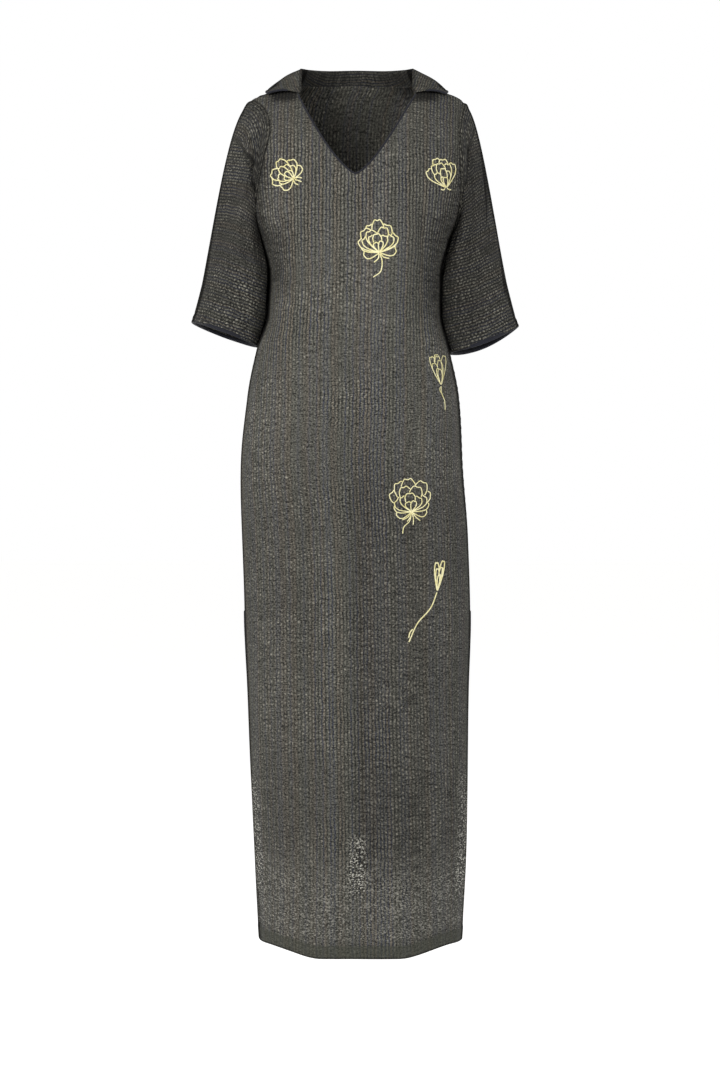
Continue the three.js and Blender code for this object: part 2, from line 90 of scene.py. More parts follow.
# Level rings of the body: depth, sideways shift of the middle, half-width, depth in front of and
# behind the side seams, and power, where 2 is an ellipse and more is squarer.
RING_COLUMNS = ("depth", "centre", "half", "front", "back", "power")
RINGS = np.array([
    (0, 5, 86, 30, 62, 2.1),
    (SHOULDER_DROP, 4, 158, 58, 71, 2.2),
    (45, 3, 167, 71, 77, 2.3),
    (70, 2.5, 172, 84, 85, 2.4),
    (110, 2.5, 175, 99, 95, 2.5),
    (NECK_POINT, 2.5, 172, 110, 100, 2.5),
    (200, 2, 159, 119, 100, 2.5),
    (UNDERARM, 2, 140, 122, 97, 2.5),
    (290, 1.5, 128, 121, 92, 2.5),
    (345, 0, 129, 117, 88, 2.5),
    (400, -1.5, 144, 114, 92, 2.6),
    (470, -1, 158, 114, 103, 2.7),
    (560, -3, 165, 116, 111, 2.8),
    (680, 2, 168, 118, 111, 2.9),
    (SLIT_TOP, 5, 168, 120, 108, 3.0),
    (900, 6, 165, 121, 105, 3.1),
    (1074, 8, 160, 122, 103, 3.2),
    (1190, 9, 156, 123, 103, 3.2),
    (LENGTH, 9, 151, 124, 104, 3.2),
])

# Upright folds of each panel: middle, half-width, top and end depths, length of the fade, and how
# far the fold stands out.
FOLDS = {
    "front": (
        (22, 20, 500, 1310, 140, -7),
        (-20, 26, 540, 1330, 140, 5),
        (66, 24, 620, 1330, 140, 5),
        (-92, 26, 800, 1340, 140, -4),
        (118, 22, 720, 1340, 140, -3),
        (-72, 40, 150, 300, 60, 6),
        (78, 40, 150, 300, 60, 6),
    ),
    "back": (
        (0, 26, 260, 1310, 140, -7),
        (-60, 28, 560, 1330, 140, 5),
        (64, 28, 600, 1330, 140, 5),
    ),
}

# Creases of each panel: x and depth of their start and end, how far the middle bows sideways,
# half-width, and how far they stand out, or in where negative.
CREASES = {
    "front": (
        (-78, 196, -116, 240, 4, 7, -2.6),
        (-70, 214, -104, 262, 3, 6, -1.8),
        (-92, 190, -124, 214, 2, 6, 1.6),
        (98, 186, 113, 292, 5, 8, -2.6),
        (112, 196, 126, 262, 4, 7, -2.0),
        (88, 214, 98, 292, 3, 8, 1.6),
        (-120, 262, -62, 330, 6, 9, -2.0),
        (-124, 300, -70, 352, 5, 8, -1.6),
        (124, 280, 72, 336, -6, 9, -1.8),
        (126, 318, 80, 362, -5, 8, -1.5),
        (-60, 352, 58, 366, 5, 12, -1.6),
        (-96, 380, -20, 398, 4, 10, -1.3),
        (100, 384, 30, 402, -4, 10, -1.3),
        (-44, 520, -58, 860, 6, 12, -2.4),
        (92, 660, 88, 1010, -5, 11, -2.2),
        (46, 900, 40, 1200, 4, 10, -2.0),
        (-8, 1000, -14, 1250, 3, 9, -2.2),
        (-120, 900, -122, 1240, 5, 10, -2.2),
        (-66, 1080, -72, 1286, 3, 8, 1.8),
        (100, 1120, 104, 1286, 3, 8, 1.8),
    ),
    "back": (
        (-96, 150, -70, 300, 8, 10, -2.4),
        (100, 160, 74, 310, -8, 10, -2.4),
        (-118, 262, -40, 322, 6, 9, -2.0),
        (118, 270, 44, 330, -6, 9, -2.0),
        (-70, 352, 62, 360, 5, 12, -2.0),
        (-90, 384, 20, 396, 4, 10, -1.6),
        (-34, 480, -40, 900, 6, 12, -2.4),
        (40, 520, 44, 1000, -5, 12, -2.4),
        (-100, 760, -104, 1240, 5, 11, -2.2),
        (98, 800, 100, 1260, -4, 11, -2.2),
        (8, 900, 12, 1270, 3, 9, 2.0),
    ),
}

# Light that comes through: how much at most, then the depths at which it starts, is full, fades
# and ends. Beside a slit it reaches so far in, and is weaker at the very edge.
SLIT_LIGHT = (0.85, (985, 1075, 1180, 1240))
SLIT_LIGHT_REACH = 15
SLIT_LIGHT_EDGE = (0.5, 20, 55)
LEG_LIGHT = (0.8, (1108, 1122, 1184, 1210))
LEG_MIDDLE, LEG_REACH = 5, 13
HEM_LIGHT = (0.34, (1120, 1200, 1262, 1272))

# Painted shade of the panels. The painted shadow under the collar's wings: how much, the
# depths at which it ends, and its band sideways. Painted shade on the skirt: the same all over,
# its band of depths, and steps across and down. Painted shade down the whole panel: on the
# shoulders' tops, low on the skirt and in a dark line along the hem's lower edge. A step is how
# much, where it starts, and where it is full.
COLLAR_SHADE = (0.72, (42, 28), (80, 88, 116, 132))
SKIRT_SHADE = (0.08, (500, 690, 1130, 1230))
SKIRT_ACROSS = ((0.27, -14, 16), (-0.1215, 80, 130), (0.08, -34, -64))
SKIRT_DOWN = ((0.10, 960, 1040),)
PANEL_DOWN = ((0.12, 110, 30), (0.12, 1150, 1230), (0.5, LENGTH - 3, LENGTH - 1))

# Painted shade beside and under the arms, on body and sleeves, and painted light where how much
# is negative: x of the middle, half-width, top and end depths, and how much.
ARM_SHADES = (
    (-140, 16, 90, 280, 0.58),
    (-113, 27, 195, 340, 0.50),
    (-112, 26, 50, 180, 0.10),
    (-152, 14, 255, 420, -0.45),
    (115, 25, 180, 375, 0.46),
    (138, 15, 120, 270, 0.34),
    (108, 30, 50, 190, 0.10),
    (172, 24, 80, 420, 0.46),
)

# Wide, low waves of hanging cloth: wavelength across, wavelength down, phase, and height.
WAVES = (
    (118, 1500, 0.6, 0.8),
    (71, 2300, 2.1, 0.45),
    (190, 420, 4.0, 0.6),
    (46, 900, 1.2, 0.22),
)

# Stitched seams and hems: depth and half-width of the dip, wavelength of the puckers with how
# much and how slowly they drift, where a seam's are highest, how a hem's fade, and how much
# higher the doubled hem stands.
SEAM_DIP, HEM_DIP = (0.5, 2.4), (0.5, 1.6)
SEAM_RIPPLE, HEM_RIPPLE = (12.5, 1.3, 31), (11, 1.7, 43)
PUCKER_REACH = 4
HEM_FADE = 9
HEM_RAISED = 0.7

# The sleeves: side, then out, back and depth of the middle of the open end, its half-widths
# across and in front, the tilt in degrees by which its outer side is higher, how far its front
# and back hang lower, how strongly the head stands out, and how much the end flares.
SLEEVE_COLUMNS = ("side", "out", "back", "depth", "across", "front", "tilt", "dip", "full", "flare")
SLEEVES = {
    "sleeve_left": dict(zip(SLEEVE_COLUMNS, (-1, 195, 8, 376, 52, 65, 19, 0, 0.42, 0.30))),
    "sleeve_right": dict(zip(SLEEVE_COLUMNS, (1, 195, 8, 384, 56, 65, 20, 9, 0.33, 0.32))),
}

# Creases of each sleeve: start and end as degrees round the arm from its outer side over the
# front and as shares of the length, the sideways bow, half-width, and height.
SLEEVE_CREASES = {
    "sleeve_left": (
        (42, 0.05, 84, 0.30, 4, 8, -4.5),
        (84, 0.28, 128, 0.72, 5, 9, -1.6),
        (60, 0.03, 100, 0.26, 3, 9, 2.6),
        (26, 0.30, 52, 0.78, 6, 12, -2.4),
        (68, 0.52, 92, 0.90, 5, 11, 2.0),
        (108, 0.62, 140, 0.94, 5, 9, 1.2),
        (248, 0.10, 228, 0.60, 8, 10, -3.0),
        (204, 0.26, 204, 0.74, 0, 14, 2.0),
        (290, 0.20, 262, 0.80, -6, 12, -3.0),
        (320, 0.35, 330, 0.90, 5, 12, 2.2),
    ),
    "sleeve_right": (
        (128, 0.06, 150, 0.52, 5, 9, -4.0),
        (60, 0.14, 112, 0.60, 8, 13, -3.2),
        (34, 0.34, 76, 0.66, 7, 10, 2.6),
        (44, 0.56, 104, 0.88, -6, 10, -2.8),
        (20, 0.62, 60, 0.93, 5, 9, 2.2),
        (240, 0.10, 212, 0.62, 8, 12, -4.0),
        (288, 0.22, 262, 0.84, -6, 12, -3.0),
        (326, 0.30, 316, 0.88, 5, 12, 2.2),
    ),
}

# The fold across the head of each sleeve, where the cloth that hangs from the shoulder meets
# the cloth round the arm: places as degrees round the arm and shares of the length, then the
# depth of the fold and the height of the lip below it.
SLEEVE_FOLDS = {
    "sleeve_left": (((0, 0.27), (41, 0.30), (80, 0.20), (117, 0.09), (150, 0.0)), -4.5, 2.2),
    "sleeve_right": (((0, 0.18), (40, 0.22), (80, 0.15), (120, 0.06), (150, 0.0)), -2.0, 1.0),
}

# Relief of the sleeves: height of the cloth's low rolls; half-width of that fold; how far below
# it the lip lies, with its half-width; and for the painted shade along the fold, the depth of
# fold that is fully dark, with the dark line's half-width.
SLEEVE_ROLL = 0.7
SLEEVE_VALLEY = 5
SLEEVE_LIP = (11, 8)
SLEEVE_FOLD_SHADE = (7, 4)

# Half of the collar, from its front end to the middle of the back: where it is sewn on, from 0
# at the top of the V to 1; the top of its fold as outward, backward and upward; and the place on
# the body that its edge lies over, as degrees round from the front, depth, and height above it.
COLLAR_STATIONS = np.array([
    (0, 84, -49, -18, 54, 24, 6),
    (0.08, 84, -43, 0, 70, 17, 4),
    (0.16, 84, -35, 15, 87, 14.5, 3.4),
    (0.25, 81, -14, 20, 106, 13.5, 3.4),
    (0.46, 71, 17, 24, 133, 16, 3.4),
    (0.72, 43, 48, 28, 158, 20, 3.4),
    (1, 0, 61, 31, 180, 23, 3.4),
])
FRONT_NECK_SHARE = 0.25   # share of the neck seam that lies on the front panel
COLLAR_CENTRE = 4.5       # sideways shift of the collar's middle
COLLAR_SEAT = 1.4         # height of its lower edge above the panels' middle surface
FALL_OUT = 5              # how far the fall swells outward between fold and edge
FALL_UP = 3               # and upward
FALL_SHARES = (0.75, 0.4) # where its two rows lie, as shares of the way from fold to edge
FULL_STAND = 20           # height of stand at which its fold is as round as it gets
FOLD_INSIDE = (1.2, 4)    # how far the fold's inner side lies in from its top, and below it
FOLD_OUTSIDE = (4, 1.5)   # and its outer side out and below
COLLAR_SWELL = (0.35, 19, 7)              # height of its low swell, and its waves along and across
COLLAR_GROOVE = (0.35, 6, 1.2)            # stitched groove: depth, place from the edge, half-width
# Painted shade of the collar along its edge, along its fold and on the stand inside:
EDGE_SHADE, FOLD_SHADE = (0.55, 4), (0.55, 1.8)             # how much darker, and half-width
STAND_SHADE = (0.45, 0.64, 0.72)          # how much darker, and where it starts and is full

# The cloth's own map: where each piece lies on it, so that no two share their stripes, and how
# it follows the slope of the shoulders, from so far before and behind the seams.
BACK_PLACE, COLLAR_PLACE, SLEEVE_PLACE = 700, 330, (31, 13)
SHOULDER_LEAN = 0.45
SHOULDER_REACH = 95
SLEEVE_HUNG = 260         # length of sleeve above the fold whose stripes follow the armhole
SLEEVE_MAP = (400, 270)   # round and along, the flat map on which a sleeve's creases are drawn

# Stitches: pitch, distance from the row's ends, length, and radius; then the slits' rows.
STITCH_PITCH, STITCH_START, STITCH_LENGTH, STITCH_RADIUS = 3.2, 4, 2.5, 0.32
SLIT_ROW = 9              # how far inside the slit's edge its row of stitches runs
SLIT_EDGES = [(side, face) for side in (-1, 1) for face in ("front", "back")]

# The three cloths: depth of the relief, tone against the yarns' own colours, which on the sleeves
# is lowered as painted shade, contrast of the picks, clearness of the stripes, strength of the
# grain, size of the stripes, the range of turning away over which a painted shade darkens it, and
# how much crisper the stripes are across the chest.
WEAVE_COLUMNS = ("depth", "dark", "contrast", "clarity", "sand", "scale", "turn", "crisp")
WEAVES = {
    "striped_weave": dict(zip(WEAVE_COLUMNS, (1.0, 0.785, 1.0, 1.0, 1.0, 1.0, (0.72, 0.86), 0.36))),
    # The sleeves' much lower tone is painted shade
    "sleeve_weave": dict(zip(WEAVE_COLUMNS, (1.0, 0.37, 1.6, 1.6, 1.45, 0.88, (0.62, 0.76), 0.0))),
    "collar_weave": dict(zip(WEAVE_COLUMNS, (0.5, 0.58, 0.8, 1.4, 0.8, 0.8, (0.62, 0.76), 0.0))),
}

# The stage, in metres: each lamp's place, the place it is turned to, its size and colour; how far
# the camera stands to the right of the shoulders' middle; and the floor's reach and own glow.
LAMPS = {
    "key": ((-2.0, -3.2, 1.3), (0, 0, -0.55), 2.2, (1.0, 0.985, 0.96)),
    "fill": ((2.6, -2.6, 0.5), (0, 0, -0.6), 2.4, (0.96, 0.98, 1.0)),
    "back": ((0.6, 2.8, 1.6), (0, 0, -0.4), 2.0, (1.0, 1.0, 1.0)),
}
CAMERA_X = 0.009
FLOOR_SIZE, FLOOR_GLOW = (40, 90), 0.62

# ---- Grids -----------------------------------------------------------------------------------
HALF_COLUMNS = 54         # quads across half the front panel
BACK_COLUMNS = 104
ARMHOLE_ROWS = 44
BODY_ROW = 4.6            # height of the rows below the underarm
SLEEVE_COLUMNS_ROUND = 88
SLEEVE_ROWS = 76
COLLAR_FINE = 10          # quads between two stations
COLLAR_ACROSS = 5         # quads between two rows of the collar's section
LINE_POINTS = 400         # along a level line round a panel
SLIT_POINTS = 300         # down a row of stitches
YOKE_ROWS = 12
HEM_ROWS = (-1.5, 1.5, 5.5, 9.5, 13.5, 16, 17.7, HEM_DEPTH)    # below the top of the hem
SLEEVE_END = 0.993        # where the cloth ends along a sleeve, inside its binding
WELD = 0.02               # points closer than this are one


def srgb(red, green, blue):
    """Scene-linear colour of an ordinary 0 to 255 one: the inverse of the screen's transfer."""
    value = np.array((red, green, blue)) / 255
    linear = np.where(value <= 0.04045, value / 12.92, ((value + 0.055) / 1.055) ** 2.4)
    return tuple(float(x) for x in linear)


# ---- Settings that a user would change -------------------------------------------------------
def number(name, description, default, unit="LENGTH"):
    """A setting that is a number, most often a length in metres."""
    return bpy.props.FloatProperty(name=name, description=description, default=default, unit=unit)


def yarn(name, description, *rgb):
    """A setting that is a colour, given from 0 to 255."""
    return bpy.props.FloatVectorProperty(
        name=name, description=description, subtype="COLOR", default=srgb(*rgb))


class TunicSizes(bpy.types.PropertyGroup):
    """Sizes of the cloth, its weave and its trims."""

    cloth: number("Cloth", "Thickness of the cloth", 0.0012)
    collar: number("Collar", "Thickness of the two layers of the collar", 0.0019)
    stripe: number("Stripe", "Distance between two stripes", 0.0053)
    pick: number("Pick", "Distance between two raised picks on a stripe", 0.0066)
    pucker: number("Pucker", "Height of the puckers beside a seam", 0.0005)
    binding: number("Cuff binding", "Width of the binding at the cuffs", 0.006)
    edging: number("Rolled edge", "Width of the rolled edges at neck and slits", 0.0028)
    piping: number("Collar edge", "Width of the edge round the collar", 0.0034)
    thread: number("Flower thread", "Width of a stitched line", 0.00172)


class TunicColours(bpy.types.PropertyGroup):
    """Colours of the yarns."""

    groove: yarn("Groove", "Dark yarn between the stripes", 54, 55, 50)
    ground: yarn("Ground", "Warm grey yarn of the stripes", 95, 94, 86)
    pick: yarn("Pick", "Light yarn of the raised picks", 132, 129, 119)
    navy: yarn("Navy stripe", "Blue yarn of some stripes", 58, 62, 79)
    taupe: yarn("Taupe stripe", "Brown yarn of some stripes", 106, 96, 83)
    doubled: yarn("Hem", "Even tone of the doubled hem", 76, 78, 68)
    fleck: yarn("Fleck", "Light that comes through the cloth", 190, 188, 178)
    binding: yarn("Binding", "Navy cotton of the trims", 17, 18, 27)
    binding_light: yarn("Binding light", "Lighter yarns of the trims", 27, 29, 40)
    sewing: yarn("Sewing thread", "Thread of the hems", 44, 44, 46)
    sewing_light: yarn("Sewing light", "Lighter turns of that thread", 70, 70, 68)
    thread: yarn("Thread", "Pale gold flower thread", 246, 240, 196)
    # The deeper gold serves for the thread's slow changes of tone and as painted shade between its
    # strands
    thread_deep: yarn("Thread shade", "Deeper gold of the thread's turns", 204, 192, 106)


class TunicStage(bpy.types.PropertyGroup):
    """Camera, lights and floor."""

    lens: number("Lens", "Focal length of the camera", 85, "CAMERA")
    distance: number("Distance", "Camera to the middle of the dress", 3.83)
    height: number("Height", "Camera's height against the shoulders", -0.684)
    drop: number("Drop", "Floor below the hem", 0.146)
    ambient: number("Ambient", "Strength of the light from all round", 0.42, "NONE")
    key: number("Key", "Power of the large front light", 95, "POWER")
    fill: number("Fill", "Power of the light across from it", 16, "POWER")


# ---- Small formulas --------------------------------------------------------------------------
def smooth(low, high, value):
    """Rises from 0 at low to 1 at high along a cubic with level ends."""
    t = np.clip((value - low) / (high - low), 0, 1)
    return t * t * (3 - 2 * t)


def band(limits, value):
    """Rises smoothly between the first two limits and falls between the last two."""
    start, full, fading, end = limits
    return smooth(start, full, value) * (1 - smooth(fading, end, value))


def bell(away, wide):
    """1 on a line, and e to the minus square of the distance over the half-width beside it."""
    return np.exp(-(away / wide) ** 2)


def ripple(along, pitch, much, slow):
    """A sine down a seam whose place in its wave drifts to and fro."""
    return np.sin(2 * np.pi * along / pitch + much * np.sin(along / slow))


def steps(rows, value):
    """Sum of smooth steps: how much, where each starts, and where it is full."""
    return sum(much * smooth(start, full, value) for much, start, full in rows)


def column(name, depth):
    """One column of RINGS at a depth: a cubic between rows whose slopes are the harmonic means of
    their neighbours', and zero at a turning point."""
    x, y = RINGS[:, 0], RINGS[:, RING_COLUMNS.index(name)]
    slope = np.diff(y) / np.diff(x)
    before, after = slope[:-1], slope[1:]
    rising = before * after > 0
    mean = np.where(rising, 2 * before * after / np.where(rising, before + after, 1), 0)
    tangent = np.concatenate([slope[:1], mean, slope[-1:]])
    d = np.clip(depth, x[0], x[-1])
    i = np.clip(np.searchsorted(x, d, side="right") - 1, 0, len(x) - 2)
    span = x[i + 1] - x[i]
    t = (d - x[i]) / span
    return (y[i] * (1 + 2 * t) * (1 - t) ** 2 + y[i + 1] * t * t * (3 - 2 * t)
            + tangent[i] * span * t * (1 - t) ** 2 - tangent[i + 1] * span * t * t * (1 - t))


def through(points, steps):
    """A Catmull-Rom curve through rows of numbers, with steps between two rows. Its ends repeat
    their first and last step outward."""
    p = np.vstack([2 * points[0] - points[1], points, 2 * points[-1] - points[-2]])
    t = np.linspace(0, len(points) - 1, steps * (len(points) - 1) + 1)
    i = np.clip(t.astype(int), 0, len(points) - 2)
    t = (t - i)[:, None]
    a, b, c, d = p[i], p[i + 1], p[i + 2], p[i + 3]
    return 0.5 * (2 * b + (c - a) * t + (2 * a - 5 * b + 4 * c - d) * t ** 2
                  + (3 * b - a - 3 * c + d) * t ** 3)


def unit(vectors):
    """Vectors of length one along the last axis."""
    return vectors / np.maximum(np.linalg.norm(vectors, axis=-1, keepdims=True), 1e-9)


def run_length(points, axis=0):
    """Distance along a line or along each line of a grid, starting from 0."""
    steps = np.linalg.norm(np.diff(points, axis=axis), axis=-1)
    start = np.zeros_like(np.take(steps, [0], axis=axis))
    return np.concatenate([start, np.cumsum(steps, axis=axis)], axis=axis)


# ---- The body's surface ----------------------------------------------------------------------
def slit_opening(depth):
    """How far the back edge hangs behind the front edge, growing down the slit."""
    return SLIT_OPEN * smooth(SLIT_TOP, SLIT_TOP + 260, depth)


def fold_out(panel, x, depth):
    """Sum of the panel's upright folds: a bell across each, grown and faded along it."""
    total = np.zeros_like(x)
    for middle, wide, top, end, fade, out in FOLDS[panel]:
        grown = band((top, top + fade, end - fade, end), depth)
        total += out * bell(x - middle, wide) * grown
    return total


def crease_out(creases, across, along):
    """Sum of creases on a flat map: a bell over the distance to each crease's line, which bows
    sideways in its middle, and thins out towards both ends."""
    total = np.zeros(np.broadcast(across, along).shape)
    for x0, y0, x1, y1, bow, wide, out in creases:
        line = np.array((x1 - x0, y1 - y0), float)
        length = np.hypot(*line)
        cosine, sine = line / length
        share = ((across - x0) * cosine + (along - y0) * sine) / length
        aside = (along - y0) * cosine - (across - x0) * sine
        inside = np.clip(share, 0, 1)
        away = aside - bow * np.sin(np.pi * inside)
        past = (share - inside) * length
        hump = np.exp(-(away ** 2 + past ** 2) / wide ** 2)
        total += out * hump * np.sqrt(np.sin(np.pi * np.clip(share, 0.02, 0.98)))
    return total


def wave_out(across, along):
    """Sum of wide low waves."""
    return sum(
        out * np.sin(2 * np.pi * (across / wide + along / tall) + phase)
        for wide, tall, phase, out in WAVES)


def body(angle, depth):
    """A point of the body's plain form. Each level ring is a superellipse: its radius in a
    direction is (|sin|^n + |cos|^n)^(-1/n), its half-width and depths come from RINGS, and the
    folds stand out from it. Angle 0 is the middle of the front."""
    centre, half, front, back, power = (column(name, depth) for name in RING_COLUMNS[1:])
    sine, cosine = np.sin(angle), np.cos(angle)
    scale = (np.abs(sine) ** power + np.abs(cosine) ** power) ** (-1 / power)
    tuck = slit_opening(depth) * SLIT_TUCK / SLIT_OPEN * np.abs(sine) ** 3
    x = centre + (half * scale - np.where(cosine > 0, 0, tuck)) * sine
    y = -np.where(cosine > 0, front, back) * scale * cosine
    folds = np.where(cosine > 0, fold_out("front", x, depth), fold_out("back", x, depth))
    folds = folds * smooth(0, 0.5, np.abs(cosine))
    neck = NECK_RISE * np.maximum(0, -cosine) ** 2 * (1 - smooth(0, 100, depth))
    hem = HEM_RISE * smooth(0.35, 0.8, np.abs(sine)) * smooth(LENGTH - 300, LENGTH, depth)
    return np.stack([x + folds * sine, y - folds * cosine, -depth + neck + hem], axis=-1)


def body_normal(angle, depth):
    """Outward direction of the body's plain form, from small steps round and down."""
    step = 0.01
    around = body(angle + step, depth + step) - body(angle - step, depth + step)
    down = body(angle, depth + 2 * step) - body(angle, depth)
    return unit(np.cross(down, around))


def cloth(angle, depth, lift=0.0):
    """The body's form with its creases and waves, and raised by lift."""
    base = body(angle, depth)
    x = base[..., 0]
    facing = np.cos(angle) > 0
    front, back = (crease_out(CREASES[panel], x, depth) for panel in ("front", "back"))
    relief = np.where(facing, front, back)
    calm = smooth(0, 120, depth) * smooth(0, 0.35, np.abs(np.cos(angle)))
    relief = (relief + wave_out(x + np.where(facing, 0, 37), depth)) * calm
    return base + body_normal(angle, depth) * (relief + lift)[..., None]


# ---- Seam lines ------------------------------------------------------------------------------
def width_at(depth, y):
    """Half the body's width at a depth, at a distance y from the side seams."""
    half, front, back, power = (column(name, depth) for name in RING_COLUMNS[2:])
    reach = np.abs(y) / np.where(y < 0, front, back)
    return half * np.maximum(0, 1 - np.minimum(reach, 1) ** power) ** (1 / power)


def angle_at_y(depth, y):
    """Angle round the body of the point at a distance y from the side seams."""
    half, front, back = (column(name, depth) for name in ("half", "front", "back"))
    return np.arctan2(width_at(depth, y) / half, -y / np.where(y < 0, front, back))


def angle_at_x(depth, x):
    """Angle round the front at which the body's half-width is x."""
    half, power = column("half", depth), column("power", depth)
    share = np.minimum(1, np.abs(x) / half)
    return np.sign(x) * np.arctan2(share, (1 - share ** power) ** (1 / power))


def seam_y(side, depth):
    """Where the side seams lie, as the cloth has slipped round the chest."""
    turned = smooth(0, SHOULDER_DROP, depth) * (1 - smooth(UNDERARM, UNDERARM + 200, depth))
    return side * TURN * turned


def side_angle(side, face, depth):
    """Angle of a panel's side edge: shoulder seam, armhole, side seam and slit in turn. The
    armhole is half an ellipse round the seam line."""
    swing = np.sqrt(np.maximum(0, 1 - ((depth - ARMHOLE_MIDDLE) / ARMHOLE_HALF) ** 2))
    reach = -ARMHOLE_FRONT if face == "front" else ARMHOLE_BACK
    y = seam_y(side, depth) + reach * swing
    return side * angle_at_y(depth, y + slit_opening(depth) if face == "back" else y)


def side_angles(face, depth):
    """Angles of a panel's two side edges, in the order in which they rise."""
    left, right = side_angle(-1, face, depth), side_angle(1, face, depth)
    return (left, right) if face == "front" else (right, 2 * np.pi + left)


def on_cloth(angle, depth, lift):
    """Points at a height above the cloth's middle surface, and the directions outward."""
    return cloth(angle, depth, lift), body_normal(angle, depth)


def neck_half_width(depth):
    """Half the width of the V: a power of the height above its point."""
    t = np.clip((NECK_POINT - depth) / (NECK_POINT - NECK_TOP), 0, 1)
    return NECK_HALF_WIDTH * t ** NECK_POWER


# ---- From grids to closed walls --------------------------------------------------------------
def grid_quads(rows, columns, flip=False):
    """The quads of a grid of points in reading order."""
    ids = np.arange(rows * columns).reshape(rows, columns)
    quads = np.stack([ids[:-1, :-1], ids[1:, :-1], ids[1:, 1:], ids[:-1, 1:]], axis=-1)
    quads = quads.reshape(-1, 4)
    return quads[:, ::-1] if flip else quads


def surface_of(points, uv, look, flip=False):
    """A grid of points as an open surface: (points, quads, uv, look)."""
    return (points.reshape(-1, 3), grid_quads(*points.shape[:2], flip), uv.reshape(-1, 2),
            look.reshape(-1, 3))


def joined(surfaces):
    """Several surfaces as one."""
    points, quads, uv, look = zip(*surfaces)
    start = np.cumsum([0] + [len(part) for part in points[:-1]])
    quads = [part + offset for part, offset in zip(quads, start)]
    return tuple(np.concatenate(part) for part in (points, quads, uv, look))


def welded(points, quads):
    """Points rounded to WELD and merged, and the quads that then join them."""
    keys = np.round(points / WELD).astype(np.int64)
    _, first, inverse = np.unique(keys, axis=0, return_index=True, return_inverse=True)
    return points[first], inverse.reshape(-1)[quads]


def crossed(points, quads):
    """Each quad's crossed diagonals: its direction, at a length of twice its area."""
    corners = points[quads]
    return np.cross(corners[:, 2] - corners[:, 0], corners[:, 3] - corners[:, 1])


def area_normals(points, quads):
    """Each point's normal: the sum of its quads' crossed diagonals."""
    area = crossed(points, quads)
    normals = np.zeros_like(points)
    for k in range(4):
        np.add.at(normals, quads[:, k], area)
    return unit(normals)


def rim_edges(quads):
    """The edges that only one quad has, each from its start to its end."""
    edges = np.stack([quads, np.roll(quads, -1, axis=1)], axis=-1).reshape(-1, 2)
    corner = np.arange(len(edges))
    real = edges[:, 0] != edges[:, 1]
    edges, corner = edges[real], corner[real]
    _, inverse, count = np.unique(
        np.sort(edges, axis=1), axis=0, return_inverse=True, return_counts=True)
    single = count[inverse.reshape(-1)] == 1
    return edges[single], corner[single]


def wall(surface, thickness):
    """A closed wall round an open surface: both skins half the thickness away along the normals,
    and a rounded rim whose middle line stands out by a quarter of it."""
    points, quads, uv, look = surface
    points, ids = welded(points, quads)
    normals = area_normals(points, ids)
    half = thickness / 2
    outer, inner = points + normals * half, points - normals * half
    edges, corner = rim_edges(ids)
    along = unit(points[edges[:, 1]] - points[edges[:, 0]])
    outward = np.zeros_like(points)
    for k in range(2):
        np.add.at(outward, edges[:, k], np.cross(along, normals[edges[:, k]]))
    rim = points + unit(outward) * half * 0.5
    n = len(points)
    a, b = edges.T
    start, end = quads.reshape(-1)[corner], np.roll(quads, -1, axis=1).reshape(-1)[corner]
    faces = np.concatenate([
        ids, ids[:, ::-1] + n,
        np.stack([b, a, a + 2 * n, b + 2 * n], axis=1),
        np.stack([b + 2 * n, a + 2 * n, a + n, b + n], axis=1)])
    turned = np.stack([end, start, start, end], axis=1)
    sources = np.concatenate([quads, quads[:, ::-1], turned, turned])
    return np.concatenate([outer, inner, rim]), faces, uv[sources], look[sources]


def add_object(name, walls, material, replaces=()):
    """Makes one mesh object, in metres at the origin, from closed walls of (points, faces, corner
    uv, corner look). Quads with two corners in one place become triangles."""
    start, points, polygons, corners_uv, corners_look = 0, [], [], [], []
    for wall_points, faces, uv, look in walls:
        repeated = faces == np.roll(faces, -1, axis=1)
        whole = ~repeated.any(axis=1)
        polygons += (faces[whole] + start).tolist()
        corners_uv.append(uv[whole].reshape(-1, 2))
        corners_look.append(look[whole].reshape(-1, 3))
        thin = repeated.sum(axis=1) == 1
        keep = ~repeated[thin]
        polygons += (faces[thin][keep].reshape(-1, 3) + start).tolist()
        corners_uv.append(uv[thin][keep])
        corners_look.append(look[thin][keep])
        points.append(wall_points)
        start += len(wall_points)
    mesh = bpy.data.meshes.new(name)
    mesh.from_pydata((np.concatenate(points) * MM).tolist(), [], polygons)
    layer = mesh.uv_layers.new(name=CLOTH_UV)
    layer.data.foreach_set("uv", (np.concatenate(corners_uv) * MM).ravel())
    attribute = mesh.attributes.new(LOOK, "FLOAT_VECTOR", "CORNER")
    attribute.data.foreach_set("vector", np.concatenate(corners_look).ravel())
    mesh.shade_smooth()
    mesh.set_sharp_from_angle(angle=math.radians(50))
    mesh.materials.append(material)
    mesh.validate()
    piece = bpy.data.objects.new(name, mesh)
    bpy.context.scene.collection.objects.link(piece)
    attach(piece, "root")
    if replaces:
        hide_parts(*replaces)
    return piece


